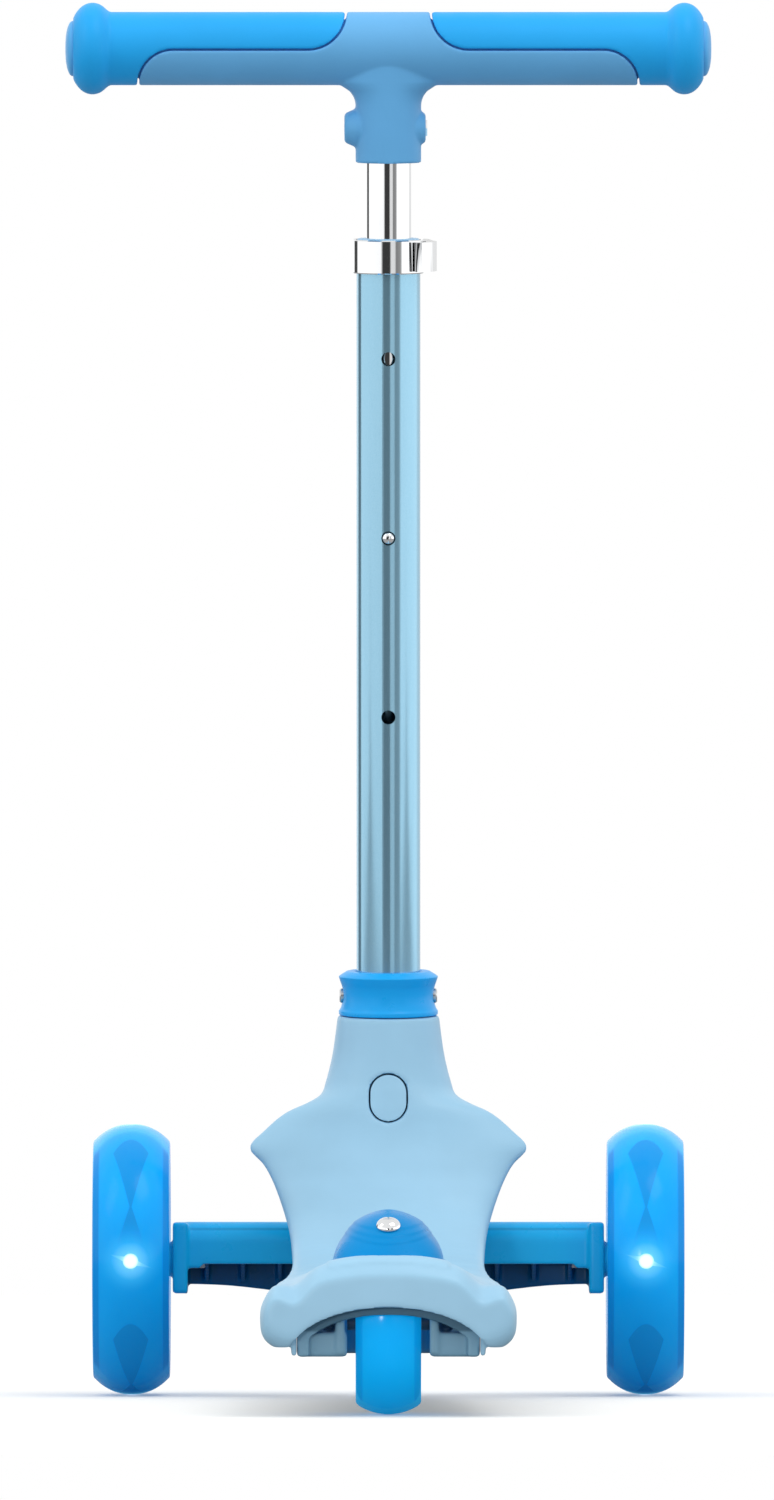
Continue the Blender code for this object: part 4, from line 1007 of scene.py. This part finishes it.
def wheels():
    for s, name in ((-1, "left"), (1, "right")):
        place = front_axle(s * TRACK, ALONG_X if s > 0 else AGAINST_X)
        sizes = (FRONT_R, FRONT_WIDTH, FRONT_TREAD_R, FRONT_HUB_R)
        wheel(f"front_{name}", f"front_{name}_wheel", place, *sizes, lit=True)
        head = smooth_profile([(3.6, 16.6), (5.4, 16.2), (6.4, 15.0), (6.6, 13.4), (6.6, 12.7)], 5)
        bolt = [(0, 16.6)] + head + [(4.0, 12.7), (4.0, -34.0), (0, -34.0)]
        bolt_head(f"front_{name}_axle_bolt", "axle", place, bolt, f"front_{name}_axle", STEEL, AXLE_SOCKET)
    wheel("rear", "rear_wheel", REAR_AXLE, REAR_R, REAR_WIDTH, REAR_TREAD_R, REAR_HUB_R, lit=False)
    bolt = [(0, 43.6), (5.6, 43.6), (6.4, 42.8), (6.4, 39.4), (4.0, 39.4)]
    bolt += [(4.0, -42.0), (3.6, -42.4), (0, -42.4)]
    bolt_head("rear_axle_bolt", "deck", REAR_AXLE, bolt, "rear_axle", DARK_STEEL, AXLE_SOCKET)


# ---------------- stem
def stem():
    bore = TUBE_R - TUBE_WALL
    tube = turned([
        (bore, TUBE_TOP_H), (TUBE_R - 0.3, TUBE_TOP_H), (TUBE_R, TUBE_TOP_H - 0.3), (TUBE_R, TUBE_FOOT_H),
        (bore, TUBE_FOOT_H),
    ], STEM, FINE_ROUND, closed=True)
    cut(
        tube,
        *[rod(HOLE_R, 8, 20, at_stem(MID_HOLE_H + k * HOLE_PITCH, BACKWARDS), 48) for k in (-1, 0, 1)],
        rod(3.5, 8, 20, at_stem(RELEASE_H, BACKWARDS), 32),
        rod(COLLAR_BORE_R, -20, 20, at_stem(COLLAR_BOLT_H, ALONG_X), 32),
    )
    show(tube, "stem_tube", "stem", TUBE_BLUE, "outer_tube", slot="tube_blue")
    low, high = TUBE_TOP_H - 32, TUBE_TOP_H + 2.8
    inside = bore - 0.05
    bush = [
        (INNER_R + 0.08, high), (TUBE_R - 0.9, high), (TUBE_R - 0.3, high - 0.5),
        (TUBE_R - 0.2, TUBE_TOP_H + 0.3), (inside, TUBE_TOP_H + 0.3), (inside, low), (INNER_R + 0.08, low),
    ]
    show(turned(bush, STEM, ROUND, closed=True), "stem_bush", "stem", BUSH_BLUE, "tube_bushing", slot="nylon")
    clamp()
    collar()


EARS_Y, LEVER_PIVOT, LEVER_IN_R, LEVER_OUT_R = 21.0, (13.4, 21.0), 16.7, 21.4


def clamp():
    low, high = CLAMP_H
    middle = (low + high) / 2
    band = turned([
        (TUBE_R + 0.2, high - 0.2), (15.5, high), (16.0, high - 0.5), (16.0, low + 0.5), (15.5, low),
        (TUBE_R + 0.2, low + 0.2),
    ], STEM, FINE_ROUND, closed=True)
    near, far = (1.4, 14.7, low + 0.5), (8.2, EARS_Y + 5.2, high - 0.5)
    join(band, *[slab(s, near, far, 1.4, STEM, 4) for s in (-1, 1)])
    bolt_bore = rod(2.7, -20, 20, at_stem(middle, ALONG_X, y=EARS_Y), 32)
    cut(band, block((-1.4, 8, low - 1), (1.4, 40, high + 1), STEM), bolt_bore)
    show(band, "clamp_band", "stem", CHROME, "clamp_collar", slot="chrome", angle=32)
    px, py = LEVER_PIVOT
    barrel = at_stem(middle, x=px, y=py)
    outline = arc((0, 0), LEVER_OUT_R, 22.0, -46.0, 40)
    tip = arc((0, 0), (LEVER_IN_R + LEVER_OUT_R) / 2, -48.0, -48.0, 1)[:1]
    outline += tip + arc((0, 0), LEVER_IN_R, -46.0, 16.0, 36) + arc((px, py), 4.6, 285, 10, 32)
    half = (high - low - 2.0) / 2
    lever = prism(outline, -half, half, at_stem(middle))
    cut(lever, rod(7.0, -2.8, 2.8, barrel, 48), rod(2.5, -10, 10, barrel, 32))
    chamfered(lever, 0.7, 3, 50)
    show(lever, "clamp_lever_arm", "clamp_lever", CHROME, "clamp_lever", slot="chrome", angle=45)


def collar():
    high = COLLAR_TOP_H
    top = [(TUBE_R + 0.3, high - 0.5), (TUBE_R + 0.9, high), (18.0, high), (18.6, high - 0.15)]
    rim = [(21.4, high - 1.9), (21.9, high - 2.3)]
    waist = smooth_profile([
        (21.95, high - 2.6), (21.3, high - 4.6), (20.5, high - 7.0), (20.15, 9.6), (20.35, 6.4), (21.1, 3.6),
        (21.9, 2.3),
    ], 6)
    foot = [(22.0, 1.9), (21.9, 0.7), (21.4, 0.35), (TUBE_R + 0.3, 0.35)]
    ring = turned(top + rim + waist + foot, STEM, FINE_ROUND, closed=True)
    side = at_stem(COLLAR_BOLT_H, ALONG_X)
    heads = [rod(3.9, -30, -19.0, side, 48), rod(3.9, 19.0, 30, side, 48)]
    cut(ring, rod(COLLAR_BORE_R, -30, 30, side, 32), *heads)
    show(ring, "collar_ring", "stem", AZURE, "stem_collar", slot="azure_plastic", angle=32)
    bolt = [(0, 21.6), (2.6, 21.6), (3.2, 21.0), (3.2, 19.6), (2.0, 19.6)]
    bolt += [(2.0, -19.5), (3.2, -19.5), (3.2, -21.0), (2.6, -21.6), (0, -21.6)]
    bolt_head("collar_screw", "stem", side, bolt, "collar_bolt", STEEL, COLLAR_SOCKET)


# ---------------- handlebar
GRIP_EDGE_X, GRIP_CORNER_R = 18.6, 17.0  # the soft grip's inner edge above the bar, and its rounding
GRIP_REACH_X, GRIP_END_R = 95.0, 15.5  # and where it reaches under the bar towards the end
BAR_BORE, SOCKET_R, FLARE = 13.0, 14.5, 9.0
BAR_PLACE = at_stem(BAR_H, ALONG_X)
CROSS = at_stem(CROSS_BOLT_H, ALONG_X)


def grip_space(side, grow):
    """The space that the soft grip takes up, with an outline as seen from behind."""
    start = arc((GRIP_EDGE_X + GRIP_CORNER_R, GRIP_CORNER_R), GRIP_CORNER_R + grow, 180, 270, 24)
    end = arc((GRIP_REACH_X, -GRIP_END_R), GRIP_END_R - grow, 90, 0, 24)
    foot = GRIP_REACH_X + GRIP_END_R - grow
    points = [(GRIP_EDGE_X - grow, 26.0)] + start + end + [(foot, -26.0), (150.0, -26.0), (150.0, 26.0)]
    return prism([(side * x, z) for x, z in points[::side]], -40, 40, at_stem(BAR_H) @ BACKWARDS)


def bar_socket():
    """The socket on the stem, which flares where it meets the bar."""
    rings = []
    steps = 24
    for k in range(steps + 1):
        z = SOCKET_FOOT_H + (BAR_H - SOCKET_FOOT_H) * k / steps
        rise = max(0.0, z - (BAR_H - BAR_R - FLARE)) / FLARE
        wide = SOCKET_R + FLARE * (1 - math.sqrt(max(0.0, 1 - min(rise, 1.0) ** 2)))
        turn = np.linspace(0, 2 * math.pi, ROUND, endpoint=False)
        rings.append([(wide * math.cos(a), SOCKET_R * math.sin(a), z) for a in turn])
    return from_rings(rings, STEM)


def bar_core():
    core = rod(BAR_R, -112, 112, BAR_PLACE, ROUND)
    for s in (-1, 1):
        cut(core, grip_space(s, 0.35))
    bosses = []
    for outer, inner in ((-19.6, -8.0), (16.7, 8.0)):
        inwards = math.copysign(1.0, inner - outer)
        rim = [(0, outer), (5.2, outer), (6.6, outer + 0.7 * inwards), (7.2, outer + 2.0 * inwards)]
        rim += [(8.6, outer + 5.2 * inwards), (8.6, inner), (0, inner)]
        bosses.append(turned(rim, CROSS, 64))
    join(core, bar_socket(), rod(12.8, -134.5, 134.5, BAR_PLACE, ROUND), *bosses)
    cut(
        core,
        rod(INNER_R + 0.3, SOCKET_FOOT_H - 2, SOCKET_TOP_H, STEM, ROUND),
        rod(CROSS_BORE_R, -30, 30, CROSS, 32),
        rod(4.4, -30, -16.6, CROSS, 48),
        rod(4.4, 14.0, 30, CROSS, 48),
    )
    soften(core, 0.62, 4)
    show(core, "bar_core", "handlebar", BAR_BLUE, "handlebar_core", slot="bar_blue")


def grip(side, name):
    """The soft grip with its bulb, and the hard plug in its end."""
    place = at_stem(BAR_H, ALONG_X if side > 0 else AGAINST_X)
    bulb = [
        (12.7, 0.1), (14.6, 0.8), (16.6, 2.1), (18.4, 3.8), (19.7, 5.9), (BULB_R, 8.6), (19.9, 11.2),
        (18.9, 13.2), (17.4, 14.9), (BAR_R, 16.4),
    ]
    profile = [(12.65, BAR_HALF - 1.0)] + smooth_profile([(r, BAR_HALF - in_from) for r, in_from in bulb], 6)
    profile += [(BAR_R, 17.0), (BAR_BORE, 17.0), (BAR_BORE, 135.2), (12.65, 135.5)]
    soft = turned(profile, place, ROUND, closed=True)
    keep(soft, grip_space(side, -0.5))
    soften(soft, 0.66, 3)
    show(soft, f"grip_{name}_soft", "handlebar", GRIP, f"grip_{name}", slot="azure_grip")
    face = [(0.01, 142.8), (5.0, 142.6), (9.0, 141.9), (11.6, 140.7), (12.3, 139.2), (12.3, 138.0)]
    plug = turned([(0, 142.8)] + smooth_profile(face, 6) + [(12.3, 135.6), (0, 135.6)], place, ROUND)
    show(plug, f"bar_end_{name}", "handlebar", END_CAP, f"grip_end_{name}", slot="shell_blue")


def telescope():
    high, low, wall = SOCKET_TOP_H - 0.5, 182.0, 1.2
    section = [(INNER_R - wall, high), (INNER_R, high), (INNER_R, low + 0.3), (INNER_R - 0.3, low)]
    tube = turned(section + [(INNER_R - wall, low)], STEM, FINE_ROUND, closed=True)
    cut(tube, rod(HOLE_R, 5, 15, at_stem(MID_HOLE_H, BACKWARDS), 48), rod(CROSS_BORE_R, -15, 15, CROSS, 32))
    show(tube, "telescope_tube", "handlebar", CHROME, "inner_tube", slot="chrome")


def cross_bolt():
    bolt = [(0, 15.6), (1.8, 15.6), (2.3, 15.0), (2.3, -16.9), (4.1, -16.9), (4.1, -18.6)]
    bolt += [(3.5, -19.2), (0, -19.2)]
    bolt_head("bar_bolt", "handlebar", CROSS, bolt, "handlebar_bolt")


def snap_button():
    face = [(0.01, 15.6), (1.3, 15.4), (2.3, 14.7), (2.7, 13.6), (2.7, 12.6)]
    button = [(0, 15.6)] + smooth_profile(face, 6) + [(2.7, 7.8), (3.9, 7.4), (3.9, 6.4), (0, 6.4)]
    button = turned(button, at_stem(MID_HOLE_H, BACKWARDS), 48)
    show(button, "snap_button", "height_button", CHROME, "height_button", slot="chrome")


def handlebar():
    bar_core()
    grip(-1, "left")
    grip(1, "right")
    telescope()
    cross_bolt()
    snap_button()


# ---------------- the pieces the CAD already has right
def finish_small_pieces():
    wanted = {
        "steel": STEEL, "chrome": CHROME, "nylon": NYLON, "rubber": RUBBER, "hub_plastic": HUB,
        "shell_blue": SHELL, "azure_plastic": AZURE,
    }
    slots = {part["node"]: part["material_slot"] for part in frame["record"]["subparts"]}
    for name, obj in frame["nodes"].items():
        obj.data.materials.clear()
        obj.data.materials.append(wanted.get(slots.get(name), STEEL))


def yielding(node, body, towards, travel, mat, slot):
    """A copy of a spring or bumper, with a mesh of its own, shown on its body in place of the CAD node."""
    source = frame["nodes"][node]
    obj = in_scene(node + "_soft", source.data.copy())
    obj.matrix_world = source.matrix_world.copy()
    show(obj, node + "_soft", body, mat, node, slot=slot)
    depths = [(obj.matrix_world @ vertex.co).dot(towards) for vertex in obj.data.vertices]
    near, far = min(depths), max(depths)
    keep_share = max(0.05, 1 - travel * MM / (far - near))
    tuple(towards * near)
    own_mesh(obj)


PIN_TRAVEL, BUTTON_TRAVEL, BUMPER_TRAVEL = 3.3, 4.4, 5.6


def springs():
    back = at_stem(RELEASE_H, BACKWARDS).to_3x3() @ Vector((0, 0, 1))
    yielding("release_spring", "deck", back, PIN_TRAVEL, STEEL, "steel")
    yielding("stem_pin_spring", "stem", back, PIN_TRAVEL, STEEL, "steel")
    yielding("height_button_spring", "handlebar", back, BUTTON_TRAVEL, STEEL, "steel")
    for side in ("left", "right"):
        node = f"steering_bumper_{side}"
        yielding(node, "deck", Vector((0, 0, -1)), BUMPER_TRAVEL, RUBBER, "rubber")


# ---------------- floor, light and camera
WHITE = (1.0, 1.0, 1.0)


def floor():
    """A pale floor. To everything but the camera it is a mid grey, so that little light comes back up."""
    bm = bmesh.new()
    bm.faces.new([bm.verts.new(p) for p in ((-3.0, -1.0, 0), (3.0, -1.0, 0), (3.0, 3.0, 0), (-3.0, 3.0, 0))])
    mesh = bpy.data.meshes.new("floor")
    bm.to_mesh(mesh)
    bm.free()
    obj = in_scene("floor", mesh)
    obj.location.z = -0.0002
    mat, tree, shader = nodes_of("pale_floor")
    feed(tree, shader, {
        "Base Color": (0.88, 0.88, 0.87),
        "Roughness": 0.9,
        "Specular IOR Level": 0.1,
        "Emission Color": (1.0, 0.985, 0.95),
        "Emission Strength": 0.14,
    })
    dim = tree.nodes.new("ShaderNodeBsdfDiffuse")
    feed(tree, dim, {"Color": grey(0.36)})
    seen = output(tree, "ShaderNodeLightPath", "Is Camera Ray")
    either = tree.nodes.new("ShaderNodeMixShader")
    feed(tree, either, {"Fac": 1.0 - seen, 1: Value(tree, shader.outputs[0]), 2: Value(tree, dim.outputs[0])})
    feed(tree, tree.nodes["Material Output"], {"Surface": Value(tree, either.outputs[0])})
    mesh.materials.append(mat)


# Grey levels of the studio: along the height from straight down to straight up, and by degrees round the
# object, from behind it, for what stands beside it in reflections.
SOFT_LIGHT = [(0.0, 0.34), (0.44, 0.50), (0.52, 0.88), (0.70, 0.93), (1.0, 1.02)]
WALLS = [(0.0, 0.25), (0.35, 0.45), (0.46, 1.25), (0.60, 1.35), (0.75, 0.9), (1.0, 0.9)]
FLAGS = (
    (-180, 0.8), (-140, 0.9), (-137, 0.05), (-119, 0.05), (-115, 0.95), (-24, 1.0), (-18, 0.04), (5, 0.04),
    (9, 0.75), (21, 0.70), (25, 0.20), (40, 0.28), (46, 1.1), (120, 1.1), (135, 0.7), (180, 0.6),
)


def world():
    """A white studio lit from above. Reflections see bright walls, with dark flags that line the tubes."""
    made = bpy.data.worlds.new("studio")
    bpy.context.scene.world = made
    made.use_nodes = True
    tree = made.node_tree
    tree.nodes.clear()
    x, y, z = axes(tree, "Generated")
    height = maths("MULTIPLY_ADD", z, 0.5, 0.5)
    around = maths("MULTIPLY_ADD", maths("ARCTAN2", x, y * -1.0), 0.5 / math.pi, 0.5)
    flags = ramp(around, [(0.5 + degrees / 360, level) for degrees, level in FLAGS])
    beside = smoothly(abs(z), 0.42, 0.24)
    walls = tinted(1.0, ramp(height, WALLS), tinted(beside, WHITE, flags), "MULTIPLY")
    glossy = output(tree, "ShaderNodeLightPath", "Is Glossy Ray")
    seen = output(tree, "ShaderNodeLightPath", "Is Camera Ray")
    colour = tinted(seen, tinted(glossy, ramp(height, SOFT_LIGHT), walls), WHITE)
    lit = tree.nodes.new("ShaderNodeBackground")
    feed(tree, lit, {"Color": colour})
    feed(tree, tree.nodes.new("ShaderNodeOutputWorld"), {"Surface": Value(tree, lit.outputs[0])})


def aimed(name, data, at, towards):
    """Put a light or camera in the scene at one point, turned towards another."""
    obj = in_scene(name, data)
    obj.location = at
    obj.rotation_euler = (Vector(towards) - Vector(at)).to_track_quat("-Z", "Y").to_euler()
    return obj


def area(name, at, size, power):
    data = bpy.data.lights.new(name, "AREA")
    data.shape = "RECTANGLE"
    data.size, data.size_y = size
    data.energy = power
    aimed(name, data, at, (0, 0, 0.25))


def lights():
    area("key", (0.9, -0.8, 2.6), (1.2, 1.2), 10.0)
    area("side", (-1.6, -0.6, 1.8), (0.8, 1.2), 4.0)


def low_spot():
    """A soft narrow light from low behind, on the tail and the rear wheel."""
    data = bpy.data.lights.new("low_spot", "SPOT")
    data.energy = 18.0
    data.spot_size = math.radians(8.8)
    data.spot_blend = 1.0
    data.shadow_soft_size = 0.08
    aimed("low_spot", data, (-0.38, -1.70, 0.19), (0, -0.27, 0.045))


def camera():
    """A long lens, twelve metres behind the front axle."""
    data = bpy.data.cameras.new("camera")
    data.lens = 650.0
    data.sensor_fit = "VERTICAL"
    data.sensor_height = 36.0
    data.clip_end = 60.0
    axle_y, aside = FRONT_AXLE_Y * MM, -0.0006
    bpy.context.scene.camera = aimed("camera", data, (aside, axle_y - 12.0, 0.236), (aside, axle_y, 0.2856))


finish_small_pieces()
springs()
deck()
release_button()
underframe()
brake()
axle_beam()
wheels()
stem()
handlebar()
floor()
world()
lights()
low_spot()
camera()
for leftover in list(HELPERS.objects):
    bpy.data.objects.remove(leftover)
bpy.data.collections.remove(HELPERS)
bpy.context.scene.view_settings.view_transform = "Standard"
